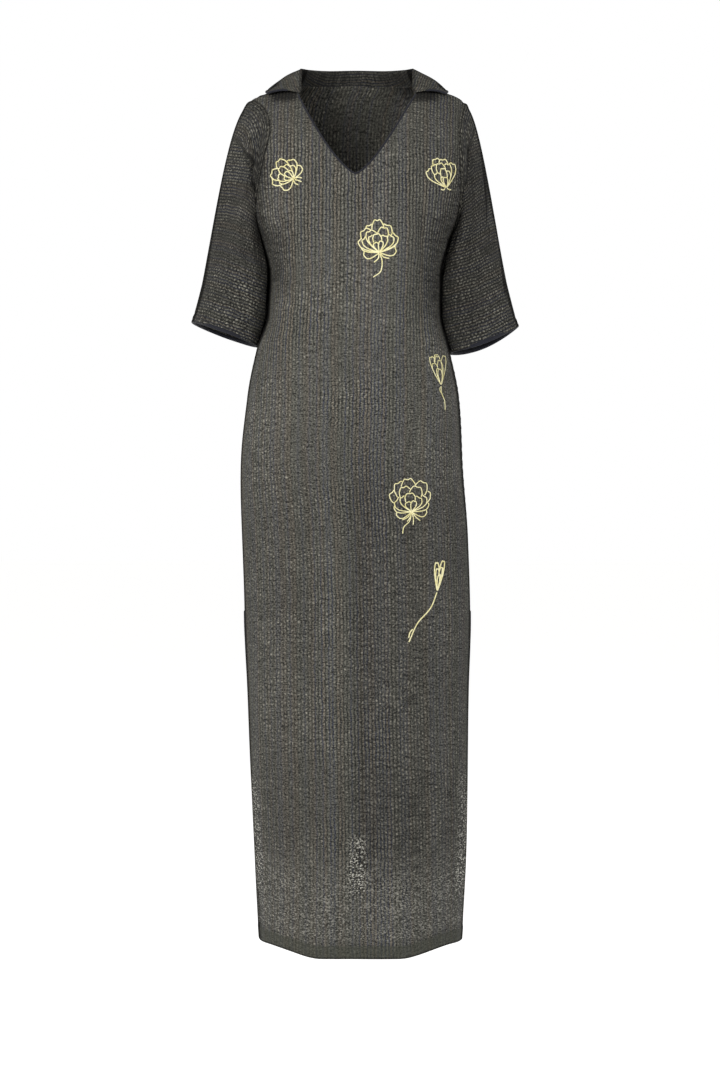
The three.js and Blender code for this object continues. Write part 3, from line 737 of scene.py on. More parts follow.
def sweep(path, up, half_width, half_height, sides, closed=False):
    """An oval rod along a path: its section is the cosine times the half-width square to the path
    and to up, and the sine times the half-height along up. It closes on itself, or comes to a
    round point at both ends."""
    up = unit(up)
    if closed:
        ahead = np.roll(path, -1, axis=0) - np.roll(path, 1, axis=0)
    else:
        ahead = np.gradient(path, axis=0)
    tangent = unit(ahead)
    across = unit(np.cross(tangent, up))
    up = unit(np.cross(across, tangent))
    turn = np.linspace(0, 2 * np.pi, sides + 1)
    run = run_length(path)
    size = np.ones(len(path))
    if not closed:
        near = np.clip(np.minimum(run, run[-1] - run) / half_width, 0, 1)
        size = np.sqrt(near * (2 - near))
    section = (np.cos(turn)[:, None] * across[:, None] * half_width
               + np.sin(turn)[:, None] * up[:, None] * half_height)
    points = path[:, None] + section * size[:, None, None]
    if closed:
        points = np.concatenate([points, points[:1]])
        run = np.append(run, run[-1] + np.linalg.norm(path[0] - path[-1]))
    uv = np.stack(np.broadcast_arrays(run[:, None], turn[None] * half_width), axis=-1)
    source = grid_quads(len(points), sides + 1)
    points, faces = welded(points.reshape(-1, 3), source)
    return points, faces, uv.reshape(-1, 2)[source], np.zeros((*source.shape, 3))


# ---- Panels ----------------------------------------------------------------------------------
def levels(last):
    """Depths of a panel's rows: yoke, armhole spaced as on a half circle, then even rows."""
    yoke = SHOULDER_DROP * np.linspace(0, 1, YOKE_ROWS + 1)[:-1]
    turn = np.pi * np.arange(ARMHOLE_ROWS + 1) / ARMHOLE_ROWS
    armhole = ARMHOLE_MIDDLE - ARMHOLE_HALF * np.cos(turn)
    armhole[np.argmin(np.abs(armhole - NECK_POINT))] = NECK_POINT
    count = int((last - HEM_DEPTH - UNDERARM) / BODY_ROW)
    hem = last - HEM_DEPTH + np.array(HEM_ROWS)
    even = np.linspace(UNDERARM, last - HEM_DEPTH - 4, count + 1)
    return np.concatenate([yoke, armhole, even[1:], hem])


def seam_relief(reach, along, pucker):
    """The dip of a seam and the puckers beside it: reach is the distance to the seam and along
    the distance down it. Puckers are highest PUCKER_REACH away and gone at five times that."""
    near = reach / PUCKER_REACH
    dip, wide = SEAM_DIP
    wave = ripple(along, *SEAM_RIPPLE)
    return -dip * bell(reach, wide) + pucker * wave * near * np.exp(1 - near)


def hem_relief(above, along, pucker):
    """The doubled hem: raised below its stitching, which draws it in and puckers it."""
    stitched = above - HEM_DEPTH
    dip, wide = HEM_DIP
    fade = np.exp(-np.abs(stitched) / HEM_FADE)
    raised = HEM_RAISED * (1 - smooth(-2, 1, stitched))
    return raised - dip * bell(stitched, wide) + pucker * ripple(along, *HEM_RIPPLE) * fade


def arm_shade(x, depth):
    """Sum of the painted shade beside and under the arms, painted lighter where negative: a bell
    across each, faded at its ends.
    """
    total = np.zeros_like(x)
    for middle, wide, top, end, much in ARM_SHADES:
        faded = band((top, top + 50, end - 50, end), depth)
        total += much * bell(x - middle, wide) * faded
    return np.clip(total, -0.4, 0.7)


def look_at(panel, x, depth, reach):
    """Where light comes through, beside the slits and between the legs; where the hem doubles the
    cloth; and the painted shade: a painted shadow under the collar's wings, painted shade on the
    skirt and over the panel, and beside and under the arms. reach is the distance to the panel's
    side edge."""
    inward = column("half", depth) - np.abs(x - column("centre", depth))
    front = panel == "front"
    side = 1 if front else -1
    slit_most, slit_band = SLIT_LIGHT
    edge_less, edge_low, edge_high = SLIT_LIGHT_EDGE
    slit = slit_most - edge_less + edge_less * smooth(edge_low, edge_high, reach)
    slit = slit * np.exp(-(inward / SLIT_LIGHT_REACH) ** 4) * band(slit_band, depth)
    leg_most, leg_band = LEG_LIGHT
    legs = leg_most * np.exp(-((x - LEG_MIDDLE) / LEG_REACH) ** 6) * band(leg_band, depth)
    hem_most, hem_band = HEM_LIGHT
    sheer = slit + front * legs + hem_most * band(hem_band, depth)
    hem = smooth(LENGTH - HEM_DEPTH - 1, LENGTH - HEM_DEPTH + 1, depth)
    # Painted shadow under the collar's wings, painted shade on the skirt and over the panel, and
    # painted shade beside and under the arms
    collar_most, collar_end, collar_band = COLLAR_SHADE
    collar = collar_most * front * smooth(*collar_end, depth) * band(collar_band, np.abs(x))
    least, skirt_band = SKIRT_SHADE
    skirt = least + steps(SKIRT_ACROSS, side * x) + steps(SKIRT_DOWN, depth)
    shade = skirt * band(skirt_band, depth) + steps(PANEL_DOWN, depth) + collar
    return np.stack([sheer, hem, shade + arm_shade(side * x, depth)], axis=-1)


def shaded(shade):
    """The look of plain cloth that has only painted shade, painted lighter where it is negative."""
    return np.stack([shade * 0, shade * 0, shade], axis=-1)


def panel_part(angles, depth, seams, pucker):
    """One grid of a panel from its angles and depths, lifted by its hem and by its seams: one at
    its last column, or one at each side. Gives the points and the distance across."""
    flat = cloth(angles, depth)
    run = run_length(flat, axis=1)
    down = run_length(flat[:, -1:], axis=0)
    closed = 1 - smooth(SLIT_TOP - 6, SLIT_TOP + 6, depth)
    relief = hem_relief(LENGTH - depth, run, pucker)
    for reach in (run[:, -1:] - run, run)[:seams]:
        relief = relief + seam_relief(reach, down, pucker) * closed
    return flat + body_normal(angles, depth) * relief[..., None], run


def map_depth(points, depth, reach):
    """Place along the stripes on the cloth's map: the depth, tilted with the shoulders' slope."""
    return depth - SHOULDER_LEAN * (points[..., 1] + reach) * (1 - smooth(50, 140, depth))


def front_panel(pucker):
    """The front as two grids from its middle, or from the edge of the V, to its side edges."""
    depth = levels(LENGTH)
    neck = neck_half_width(depth)
    inner = np.where(depth < NECK_POINT, angle_at_x(depth, neck), 0)
    halves = []
    for side in (-1, 1):
        outer = np.abs(side_angle(side, "front", depth))
        share = np.linspace(0, 1, HALF_COLUMNS + 1)
        angles = side * (inner[:, None] + (outer - inner)[:, None] * share)
        grid = np.broadcast_to(depth[:, None], angles.shape)
        points, run = panel_part(angles, grid, 1, pucker)
        lengthwise = map_depth(points, grid, SHOULDER_REACH)
        uv = np.stack([side * (run + neck[:, None]), lengthwise], axis=-1)
        look = look_at("front", points[..., 0], grid, run[:, -1:] - run)
        halves.append(surface_of(points, uv, look, flip=side < 0))
    return joined(halves)


def back_panel(pucker):
    """The back as one grid from side edge to side edge."""
    depth = levels(LENGTH)
    right, left = side_angles("back", depth)
    share = np.linspace(0, 1, BACK_COLUMNS + 1)
    angles = right[:, None] + (left - right)[:, None] * share
    grid = np.broadcast_to(depth[:, None], angles.shape)
    points, run = panel_part(angles, grid, 2, pucker)
    lengthwise = map_depth(points, grid, -SHOULDER_REACH)
    uv = np.stack([BACK_PLACE + run - run[:, -1:] / 2, lengthwise], axis=-1)
    look = look_at("back", points[..., 0], grid, np.minimum(run, run[:, -1:] - run))
    return surface_of(points, uv, look)


# ---- Sleeves ---------------------------------------------------------------------------------
def armhole_point(side, loop):
    """A point of the armhole seam. loop runs from 0 at the shoulder over the front to half of
    LOOP at the underarm and on over the back to LOOP. Its depth follows a half circle, with one
    step left out halfway down."""
    near = np.minimum(loop, LOOP - loop)
    step = near - smooth(5, 7, near)
    depth = ARMHOLE_MIDDLE - ARMHOLE_HALF * np.cos(np.pi * step / (LOOP / 2 - 1))
    front, back = side_angle(side, "front", depth), side_angle(side, "back", depth)
    return body(np.where(loop <= LOOP / 2, front, back), depth)


def sleeve_points(sleeve, loop, share):
    """The sleeve's surface. Each line along it is a cubic that leaves the armhole sideways and
    reaches the hem along the arm; its underside is drawn in, and it keeps clear of the body."""
    side, turn = sleeve["side"], 2 * np.pi * loop / LOOP
    tilt = math.radians(sleeve["tilt"])
    start = armhole_point(side, loop)
    across = sleeve["across"] * np.cos(turn)
    end = np.stack([
        side * (sleeve["out"] + across * math.cos(tilt)),
        sleeve["back"] - sleeve["front"] * np.sin(turn),
        -sleeve["depth"] + across * math.sin(tilt) - sleeve["dip"] * np.sin(turn) ** 2], axis=-1)
    chord = np.linalg.norm(end - start, axis=-1, keepdims=True)
    leave = np.stack([
        np.full_like(turn, side * SLEEVE_LEAVE), np.zeros_like(turn),
        -SLEEVE_DROP - SLEEVE_HEAD * np.cos(turn)], axis=-1)
    leave = unit(leave) * sleeve["full"] * chord
    arrive = unit(np.array((side * sleeve["flare"], 0, -0.96))) * chord
    t = share[..., None]
    point = (start * (1 + 2 * t) * (1 - t) ** 2 + end * t * t * (3 - 2 * t)
             + leave * t * (1 - t) ** 2 - arrive * t * t * (1 - t))
    underside = np.maximum(0, -np.cos(turn)) ** 1.5
    x = point[..., 0] - side * SLEEVE_HUG * underside * np.sin(np.pi * share)
    depth = -point[..., 2]
    clear = width_at(depth, point[..., 1]) + SLEEVE_CLEAR * smooth(0, 0.035, share)
    centre = column("centre", depth)
    point[..., 0] = centre + side * np.maximum(side * (x - centre), clear)
    return point


def sleeve_surface(name, pucker):
    """The sleeve's grid with its creases and low rolls, its map, and the painted shade along its
    fold.
    The relief grows from nothing at the armhole, more slowly towards the underside. The stripes
    run even with the cuff below the fold and even with the armhole above it."""
    sleeve = SLEEVES[name]
    loop, share = np.meshgrid(
        np.linspace(0, LOOP, SLEEVE_COLUMNS_ROUND + 1), np.linspace(0, SLEEVE_END, SLEEVE_ROWS + 1))
    flat = sleeve_points(sleeve, loop, share)
    down = run_length(flat, axis=0)
    around = run_length(flat[-1:], axis=1) * np.ones_like(down)
    length = down[-1:]
    wide, long = SLEEVE_MAP
    creases = [
        (a0 / 360 * wide, t0 * long, a1 / 360 * wide, t1 * long, *rest)
        for a0, t0, a1, t1, *rest in SLEEVE_CREASES[name]]
    relief = crease_out(creases, loop / LOOP * wide, share * long)
    rolling = np.sin(around / 17 + share * 5 + 1.1 * np.sin(share * 7))
    relief += SLEEVE_ROLL * rolling * smooth(0, 0.3, share)
    degrees = np.minimum(loop, LOOP - loop) / LOOP * 360
    relief *= smooth(0, 1, share / (0.07 + 0.2 * smooth(30, 80, degrees)))
    places, valley, lip = SLEEVE_FOLDS[name]
    fold = np.interp(degrees, *np.array(places).T)
    away = (share - fold) * length
    grown = smooth(0, 0.08, fold) * smooth(20, 60, degrees)
    below, lip_wide = SLEEVE_LIP
    relief += valley * bell(away, SLEEVE_VALLEY) * grown
    relief += lip * bell(away - below, lip_wide) * grown
    # Painted shade along the fold, darker the deeper the fold
    fully_dark, dark_wide = SLEEVE_FOLD_SHADE
    painted_fold_shade = -valley / fully_dark * bell(away, dark_wide) * grown
    relief += seam_relief(down, around, pucker)
    relief += hem_relief(length - down + 6, around, pucker * 0.8)
    ring = np.concatenate([flat[:, -2:-1], flat, flat[:, 1:2]], axis=1)
    normal = unit(np.cross(ring[:, 2:] - ring[:, :-2], np.gradient(flat, axis=0))) * sleeve["side"]
    points = flat + normal * relief[..., None]
    points[:, -1] = points[:, 0]
    hung = SLEEVE_HUNG - down
    stripes = hung + (length - down - hung) * smooth(-3, 3, away)
    step, shift = SLEEVE_PLACE
    uv = np.stack([stripes + step * (sleeve["side"] + 2), around + shift], axis=-1)
    return points, uv, painted_fold_shade


def sleeve_cloth(name, pucker):
    """The sleeve as an open surface, with the same painted shade beside the body as the body has
    beside it, and the painted shade along its fold.
    """
    points, uv, painted_fold_shade = sleeve_surface(name, pucker)
    # Painted shade beside the body and along the fold
    shade = arm_shade(points[..., 0], -points[..., 2]) + painted_fold_shade
    return surface_of(points, uv, shaded(shade), flip=SLEEVES[name]["side"] < 0)


# ---- Collar ----------------------------------------------------------------------------------
def neck_seam(along):
    """A point of the neck seam: along the V's top on the front panel, then round the back."""
    side = np.where(along > 1, -1, 1)
    near = np.minimum(along, 2 - along)
    depth = NECK_TOP * np.maximum(0, 1 - near / FRONT_NECK_SHARE)
    front = angle_at_x(depth, neck_half_width(depth))
    back = np.pi / 2 + np.pi / 2 * (near - FRONT_NECK_SHARE) / (1 - FRONT_NECK_SHARE)
    angle = side * np.where(depth > 0, front, back)
    return body(angle, depth) + body_normal(angle, depth) * COLLAR_SEAT


def collar_grid():
    """Rows of the collar from its free edge up the fall and over the fold down to its seam. Each
    line along it runs through the stations of one half and their mirror."""
    half = COLLAR_STATIONS
    mirrored = half[-2::-1] * (1, -1, 1, 1, -1, 1, 1) + (0, 0, 0, 0, 360, 0, 0)
    mirrored[:, 0] = 2 - mirrored[:, 0]
    line = through(np.vstack([half, mirrored]), COLLAR_FINE)
    low = neck_seam(line[:, 0])
    top = line[:, 1:4] + (COLLAR_CENTRE, 0, 0)
    angle, depth = np.radians(line[:, 4]), line[:, 5]
    end = body(angle, depth) + body_normal(angle, depth) * line[:, 6:7]
    out = unit((end - top) * (1, 1, 0))
    stand = np.clip((top[:, 2:] - low[:, 2:]) / FULL_STAND, 0.1, 1)
    fall = [
        top + (end - top) * share + out * FALL_OUT * math.sin(math.pi * share)
        + np.array((0, 0, FALL_UP * math.sin(math.pi * share))) for share in FALL_SHARES]
    inner = top - out * FOLD_INSIDE[0] * stand - stand * (0, 0, FOLD_INSIDE[1])
    outer = top + out * FOLD_OUTSIDE[0] - (0, 0, FOLD_OUTSIDE[1])
    rows = np.stack([end, *fall, outer, top, inner, low])
    fine = through(rows.reshape(len(rows), -1), COLLAR_ACROSS)
    return fine.reshape(len(fine), len(line), 3)


def collar_normal(points):
    """Outward directions of the collar's grid: its two steps crossed."""
    return unit(np.cross(np.gradient(points, axis=0), np.gradient(points, axis=1)))


def collar_cloth():
    """The collar's grid with a low swell in its fall and the groove of its stitched edge, with
    painted shade along the edge, along the fold and on the stand inside."""
    points = collar_grid()
    inside_row, fold_row = 5 * COLLAR_ACROSS, 4 * COLLAR_ACROSS
    along = run_length(points[inside_row:inside_row + 1], axis=1) * np.ones(points.shape[:2])
    across = run_length(points, axis=0)
    share = np.linspace(0, 1, len(points))[:, None]
    fall = 1 - smooth(0.5, 0.62, share)
    swell, wave_along, wave_across = COLLAR_SWELL
    swelling = np.sin(along / wave_along + across / wave_across)
    relief = swell * swelling * fall * smooth(0, 8, across)
    groove, groove_place, groove_wide = COLLAR_GROOVE
    relief = relief - groove * bell(across - groove_place, groove_wide) * fall
    points = points + collar_normal(points) * relief[..., None]
    # Painted shade along the edge and the fold, and on the stand inside
    shade = sum(
        much * bell(away, wide)
        for away, (much, wide) in ((across, EDGE_SHADE), (across - across[fold_row], FOLD_SHADE)))
    much, start, full = STAND_SHADE
    shade = np.maximum(shade, much * smooth(start, full, share))
    return surface_of(points, np.stack([across + COLLAR_PLACE, along], axis=-1), shaded(shade))


# ---- Trims and stitches ----------------------------------------------------------------------
def neck_edge_path():
    """The line of the V on the cloth, from the left shoulder to its point and up again."""
    depth = np.concatenate([np.linspace(20, 120, 30), np.linspace(120, NECK_POINT, 14)[1:]])
    angle = angle_at_x(depth, neck_half_width(depth))
    angle, depth = np.concatenate([-angle, angle[-2::-1]]), np.concatenate([depth, depth[-2::-1]])
    return on_cloth(angle, depth, 0.5)


def slit_edge_path(side, face):
    """Down one edge of a slit, raised with the hem at its end."""
    depth = np.linspace(SLIT_TOP - 3, LENGTH - 1, 150)
    angle = side_angle(side, face, depth)
    hem = hem_relief(LENGTH - depth, depth * 0, 0)
    return on_cloth(angle, depth, hem + 1.0)


def collar_edge_path():
    """Down one front end, along the free edge and up the other, from where the fall is widest."""
    points = collar_grid()
    normal = collar_normal(points)
    rise = COLLAR_ACROSS * 2 + 2

    def line(grid):
        """The same line through any grid of the collar's size."""
        return np.concatenate([grid[rise:0:-1, 0], grid[0], grid[1:rise + 1, -1]])

    inward = np.concatenate([
        np.broadcast_to(points[6, 3] - points[6, 0], (rise, 3)),
        points[3] - points[0],
        np.broadcast_to(points[6, -4] - points[6, -1], (rise, 3))])
    return line(points), line(normal), unit(inward)


def cuff_path(name):
    """The ring round the open end of a sleeve, and the directions outward."""
    loop = np.linspace(0, LOOP, 133)[:-1]
    point, above = (
        sleeve_points(SLEEVES[name], loop, np.full_like(loop, share))
        for share in (CUFF_SHARE, CUFF_SHARE - 0.03))
    along = unit(np.roll(point, -1, axis=0) - np.roll(point, 1, axis=0))
    return point, unit(np.cross(point - above, along)) * SLEEVES[name]["side"]


def values_at(places, run, values):
    """Rows of values at places along a line, between the rows on both sides."""
    return np.stack([np.interp(places, run, column) for column in values.T], axis=-1)


def spaced(path, normals):
    """Evenly spaced stitches along a path: points, directions and normals."""
    run = run_length(path)
    at = np.arange(STITCH_START + STITCH_PITCH / 2, run[-1] - STITCH_START, STITCH_PITCH)
    step = values_at(at + 0.2, run, path) - values_at(at - 0.2, run, path)
    return values_at(at, run, path), unit(step), unit(values_at(at, run, normals))


def stitches(places, length, radius):
    """Small round-ended rods, one at each place, lying along its direction and bent down at the
    ends. Each is a six-sided ring carried through five stations, with two quads at each end."""
    point, along, normal = (values[:, None, None] for values in places)
    across = unit(np.cross(along, normal))
    turn = 2 * np.pi * np.arange(6)[:, None] / 6
    share, size = np.array([(-0.5, 0.15), (-0.38, 0.85), (0, 1), (0.38, 0.85), (0.5, 0.15)]).T
    share, size = share[:, None, None], size[:, None, None]
    ring = (np.cos(turn) * across + np.sin(turn) * normal) * radius
    grid = point + along * (share * length) + ring * size - normal * (share ** 2 * 1.2 * radius)
    count, rows, sides = grid.shape[:3]
    ids = np.arange(rows * sides).reshape(rows, sides)
    after = np.roll(ids, -1, axis=1)
    quads = np.stack([ids[:-1], ids[1:], after[1:], after[:-1]], axis=-1).reshape(-1, 4)
    first, last = ids[0], ids[-1]
    caps = [first[[0, 1, 2, 3]], first[[0, 3, 4, 5]], last[[3, 2, 1, 0]], last[[5, 4, 3, 0]]]
    quads = np.concatenate([quads, caps])
    faces = (quads[None] + (np.arange(count) * rows * sides)[:, None, None]).reshape(-1, 4)
    return grid.reshape(-1, 3), faces, np.zeros((len(faces), 4, 2)), np.zeros((len(faces), 4, 3))


def hem_line(face, lift):
    """A level line round a panel along the top of its hem."""
    depth = np.full(LINE_POINTS, LENGTH - HEM_DEPTH)
    angle = np.linspace(*side_angles(face, depth[0]), LINE_POINTS)
    return on_cloth(angle, depth, lift)


def slit_line(side, face, lift):
    """A line down a slit's edge and some way inside it."""
    depth = np.linspace(SLIT_TOP - 6, LENGTH - HEM_DEPTH, SLIT_POINTS)
    inward = side * SLIT_ROW / column("half", depth) * (1 if face == "front" else -1)
    return on_cloth(side_angle(side, face, depth) - inward, depth, lift)


# ---- Flowers ---------------------------------------------------------------------------------
# Each flower is drawn on a flat map whose axes are x and height, in millimetres: the place of its
# base, its lean in degrees, its share of the thread's thickness, tiers of petals from back to
# front as number, half the spread in degrees, reach and half-width, then stems and sepals as
# lines from the base, before the lean.
FLOWERS = {
    "flower_left_chest": dict(
        at=(-88, -156), turn=-54, thread=1.0,
        tiers=((6, 74, 37, 8.8), (5, 46, 26, 6.0), (3, 28, 15, 3.8)),
        stems=(((2, -2), (6, -5), (8, -10)), ((-2, -2), (-4, -7), (-3, -12)),
               ((0, -2), (2, -8), (3, -13)))),
    "flower_right_chest": dict(
        at=(135, -166), turn=-15, thread=1.0,
        tiers=((4, 31, 43, 7.8), (3, 20, 37, 6.9), (3, 22, 27, 5.5), (2, 12, 15.5, 3.6)),
        stems=(((0, -1), (4, -4), (7, -4)), ((-2, -1), (-6, -3), (-9, -1)))),
    "flower_centre": dict(
        at=(37, -265), turn=-8, thread=1.0,
        tiers=((6, 82, 41, 10.2), (5, 50, 45, 9.8), (4, 44, 36.5, 8.4), (3, 26, 27, 6.2),
               (2, 14, 16, 3.7)),
        stems=(((0, -2), (2, -14), (-2, -28), (-14, -35)), ((-1, -2), (-3, -9), (-10, -14)),
               ((1, -2), (5, -8), (13, -11)))),
    "flower_waist": dict(
        at=(127, -456), turn=-9, thread=0.68,
        tiers=((4, 12, 44, 4.6), (3, 9, 35, 4.0), (2, 6, 24, 3.2)),
        stems=(((0, -2), (-1, -12), (2, -24), (1, -38)), ((-1, -2), (-3, -7), (-2, -12)))),
    "flower_hip": dict(
        at=(84, -642), turn=-4, thread=0.84,
        tiers=((7, 90, 41, 10.0), (5, 44, 49, 10.8), (4, 46, 38, 10.0), (3, 34, 27, 7.6),
               (2, 18, 16, 4.6)),
        stems=(((-1, -1), (-6, -8), (-15, -12)), ((0, -1), (-4, -14), (-13, -22), (-16, -32)),
               ((0, -1), (2, -10), (1, -20)), ((0, -1), (-3, -9), (-8, -15)),
               ((1, -1), (5, -8), (12, -15)))),
    "flower_thigh": dict(
        at=(122, -758), turn=8, thread=1.1,
        tiers=((3, 6, 43, 3.6), (3, 4, 34, 2.6), (2, 2, 24, 1.8)),
        stems=(((0, -2), (-6, -26), (-22, -50), (-29, -67)), ((-29, -60), (-33, -66), (-34, -74)),
               ((-28, -64), (-30, -71), (-33, -80)))),
}


def petal_line(lean, reach, wide, lobes, count=96):
    """A petal's closed outline from the flower's base: it runs (1 - cos)/2 along and bulges with
    the sine, more beyond its middle, and its outer edge waves round a small notch at the tip."""
    t = np.linspace(0, 2 * np.pi, count)
    along = (1 - np.cos(t)) / 2
    outer = smooth(0.45, 0.85, along)
    wave = np.cos(lobes * (t - np.pi)) * outer
    side = np.sin(t) * (0.32 + 1.02 * along) * wide * (1 + 0.03 * wave)
    along = along * reach * (1 - 0.028 * wave)
    angle = math.radians(lean)
    return np.stack([along * math.sin(angle) + side * math.cos(angle),
                     along * math.cos(angle) - side * math.sin(angle)], axis=-1)


def petals(tiers):
    """All petals' outlines from back to front. Within a tier the middle ones lie in front and
    reach furthest, so that the bloom is round, and each differs a little in lean and width."""
    outlines = []
    for level, (count, spread, reach, wide) in enumerate(tiers):
        steps = np.linspace(-1, 1, count)
        for k in np.argsort(-np.abs(steps), kind="stable"):
            vary = math.sin(2.4 * k + 1.9 * level + reach)
            lean = spread * steps[k] + 4 * vary
            long = reach * (1 - 0.45 * math.sin(math.radians(lean)) ** 2) * (1 + 0.04 * vary)
            lobes = (9, 7, 8)[(k + level) % 3]
            outlines.append(petal_line(lean, long, wide * (1 - 0.08 * vary), lobes))
    return outlines


def inside(points, outline):
    """Which points lie inside a closed outline, by counting crossings."""
    x, y = points[:, :1], points[:, 1:]
    ax, ay = outline[:-1].T
    bx, by = outline[1:].T
    at = ax + (bx - ax) * (y - ay) / np.where(by == ay, 1e-9, by - ay)
    crosses = ((ay > y) != (by > y)) & (x < at)
    return crosses.sum(axis=1) % 2 == 1


def flower_lines(flower):
    """The lines that show of a flower, each as points on the flat map. A petal hides what lies
    behind it."""
    outlines = petals(flower["tiers"])
    lines = []
    for i, line in enumerate(outlines):
        hidden = np.zeros(len(line), bool)
        for cover in outlines[i + 1:]:
            hidden |= inside(line, cover)
        lines += pieces_of(line, ~hidden)
    lines += [through(np.array(stem, float), 12) for stem in flower["stems"]]
    turn = math.radians(flower["turn"])
    spin = np.array(((math.cos(turn), -math.sin(turn)), (math.sin(turn), math.cos(turn))))
    return [line @ spin + np.array(flower["at"]) for line in lines]


def pieces_of(line, shown):
    """The runs of a line that show, where at least four points long."""
    edges = np.flatnonzero(np.diff(np.concatenate([[0], shown.astype(int), [0]])))
    return [line[a:b] for a, b in zip(edges[::2], edges[1::2]) if b - a >= 4]


def on_front(line, lift):
    """Points of a flat line laid on the front panel, with their normals."""
    depth = -line[:, 1]
    x = line[:, 0] - column("centre", depth)
    return on_cloth(angle_at_x(depth, x), depth, lift)


def resampled(line, step):
    """The line with its points evenly spaced, no further apart than about a step."""
    run = run_length(line)
    return values_at(np.linspace(0, run[-1], max(3, int(run[-1] / step) + 1)), run, line)


# ---- Materials -------------------------------------------------------------------------------
class Value:
    """What a node puts out. Arithmetic with values adds math nodes."""

    def __init__(self, nodes, socket):
        self.nodes, self.socket = nodes, socket

    def __add__(self, other):
        return self.nodes.math("ADD", self, other)

    def __sub__(self, other):
        return self.nodes.math("SUBTRACT", self, other)

    def __rsub__(self, other):
        return self.nodes.math("SUBTRACT", other, self)

    def __mul__(self, other):
        return self.nodes.math("MULTIPLY", self, other)

    def __truediv__(self, other):
        return self.nodes.math("DIVIDE", self, other)

    def __abs__(self):
        return self.nodes.math("ABSOLUTE", self)

    __radd__, __rmul__ = __add__, __mul__


class Nodes:
    """Adds the nodes of one material and links them."""

    def __init__(self, name):
        self.material = bpy.data.materials.new(name)
        self.material.use_nodes = True
        self.tree = self.material.node_tree
        self.tree.nodes.clear()
        output = self.tree.nodes.new("ShaderNodeOutputMaterial")
        self.shader = self.tree.nodes.new("ShaderNodeBsdfPrincipled")
        self.tree.links.new(self.shader.outputs[0], output.inputs[0])
        self.count = 0

    def put(self, inputs, values):
        """Links each value to the input of its name or place, or sets that input's own value."""
        for key, value in values.items():
            if isinstance(value, Value):
                self.tree.links.new(value.socket, inputs[key])
            elif inputs[key].type == "RGBA":
                inputs[key].default_value = (*tuple(value)[:3], 1)
            else:
                inputs[key].default_value = value

    def add(self, kind, output=0, inputs=None, **settings):
        """Adds a node with its settings and inputs, and gives one of its outputs."""
        node = self.tree.nodes.new(kind)
        node.location = (-220 * (1 + self.count // 6), -180 * (self.count % 6))
        self.count += 1
        for key, value in settings.items():
            setattr(node, key, value)
        self.put(node.inputs, inputs or {})
        return Value(self, node.outputs[output])

    def math(self, operation, *values):
        """A math node's result."""
        return self.add("ShaderNodeMath", 0, dict(enumerate(values)), operation=operation)

    def vectors(self, operation, a, b):
        """A sum or product of two vectors, or a vector scaled by a number."""
        second = "Scale" if operation == "SCALE" else 1
        return self.add("ShaderNodeVectorMath", 0, {0: a, second: b}, operation=operation)

    def vector(self, *values):
        """A vector from two or three numbers."""
        return self.add("ShaderNodeCombineXYZ", 0, dict(enumerate(values)))

    def split(self, vector):
        """The three numbers of a vector."""
        first = self.add("ShaderNodeSeparateXYZ", 0, {0: vector})
        return [Value(self, socket) for socket in first.socket.node.outputs]

    def mix(self, factor, a, b):
        """Colour a where the factor is 0, and b where it is 1."""
        return self.add("ShaderNodeMix", 2, {0: factor, 6: a, 7: b}, data_type="RGBA")

    def smooth(self, value, *limits):
        """A smooth step between the first two limits, from 0 to 1 or between two more."""
        inputs = dict(enumerate((value, *limits)))
        return self.add("ShaderNodeMapRange", 0, inputs, interpolation_type="SMOOTHSTEP")

    def noise(self, vector, scale=1.0, detail=2.0, roughness=0.5):
        """Smooth noise about 0.5."""
        return self.add("ShaderNodeTexNoise", "Fac", {
            "Vector": vector, "Scale": scale, "Detail": detail, "Roughness": roughness})

    def white(self, *values):
        """A random number for each set of whole numbers."""
        inputs = {"Vector": self.vector(*values)}
        return self.add("ShaderNodeTexWhiteNoise", "Value", inputs, noise_dimensions="3D")

    def bump(self, height, distance):
        """The normal of a relief whose height of 1 is the distance, in metres."""
        return self.add("ShaderNodeBump", 0, {
            "Strength": 1.0, "Distance": distance, "Height": height})

    def cloth_map(self):
        """Metres across and along the stripes, or along and round a rod."""
        return self.add("ShaderNodeUVMap", uv_map=CLOTH_UV)

    def place(self):
        """Place in metres from the shoulders' middle."""
        return self.add("ShaderNodeTexCoord", "Object")

    def shade(self, colour, roughness, normal=None, sheen=0.0, specular=SHINE):
        """Sets the finish and gives the material."""
        inputs = {
            "Base Color": colour, "Roughness": roughness, "Sheen Weight": sheen,
            "Sheen Roughness": 0.6, "Specular IOR Level": specular}
        if normal is not None:
            inputs["Normal"] = normal
        self.put(self.shader.inputs, inputs)
        return self.material


NOISE_RANGE = (0.3, 0.7)          # where most of a noise lies


def swing(value, amount):
    """A noise's swing about its middle."""
    return (value - 0.5) * amount


# The slow sideways shifts of the weave's map, across and along: waves to the metre, reach in
# metres, and where in the noise each lies.
WANDER_ACROSS = ((50, 0.0040, (0, 0, 0)), (230, 0.0022, (3, 1, 0)))
WANDER_ALONG = ((80, 0.0060, (1, 4, 0)), (260, 0.0030, (2, 7, 0)))

# The smooth edges of a column across, and of a pick across and down, as shares of its size from
# its middle; the strength of the faintest and the strongest pick; and how far a column's picks
# lie higher at random, as a share of a pick.
COLUMN_EDGE, PICK_ACROSS, PICK_DOWN = (0.48, 0.14), (0.40, 0.08), (0.42, 0.10)
PICK_STRENGTH = (0.25, 1.35)
PICK_DRIFT = 0.4

# Which grooves turn navy and which columns taupe: two limits of their random number, and the
# other colour's share at each.
NAVY_GROOVES, TAUPE_COLUMNS = (0.35, 0.75, 0.1, 0.7), (0.60, 0.80, 0.0, 0.5)

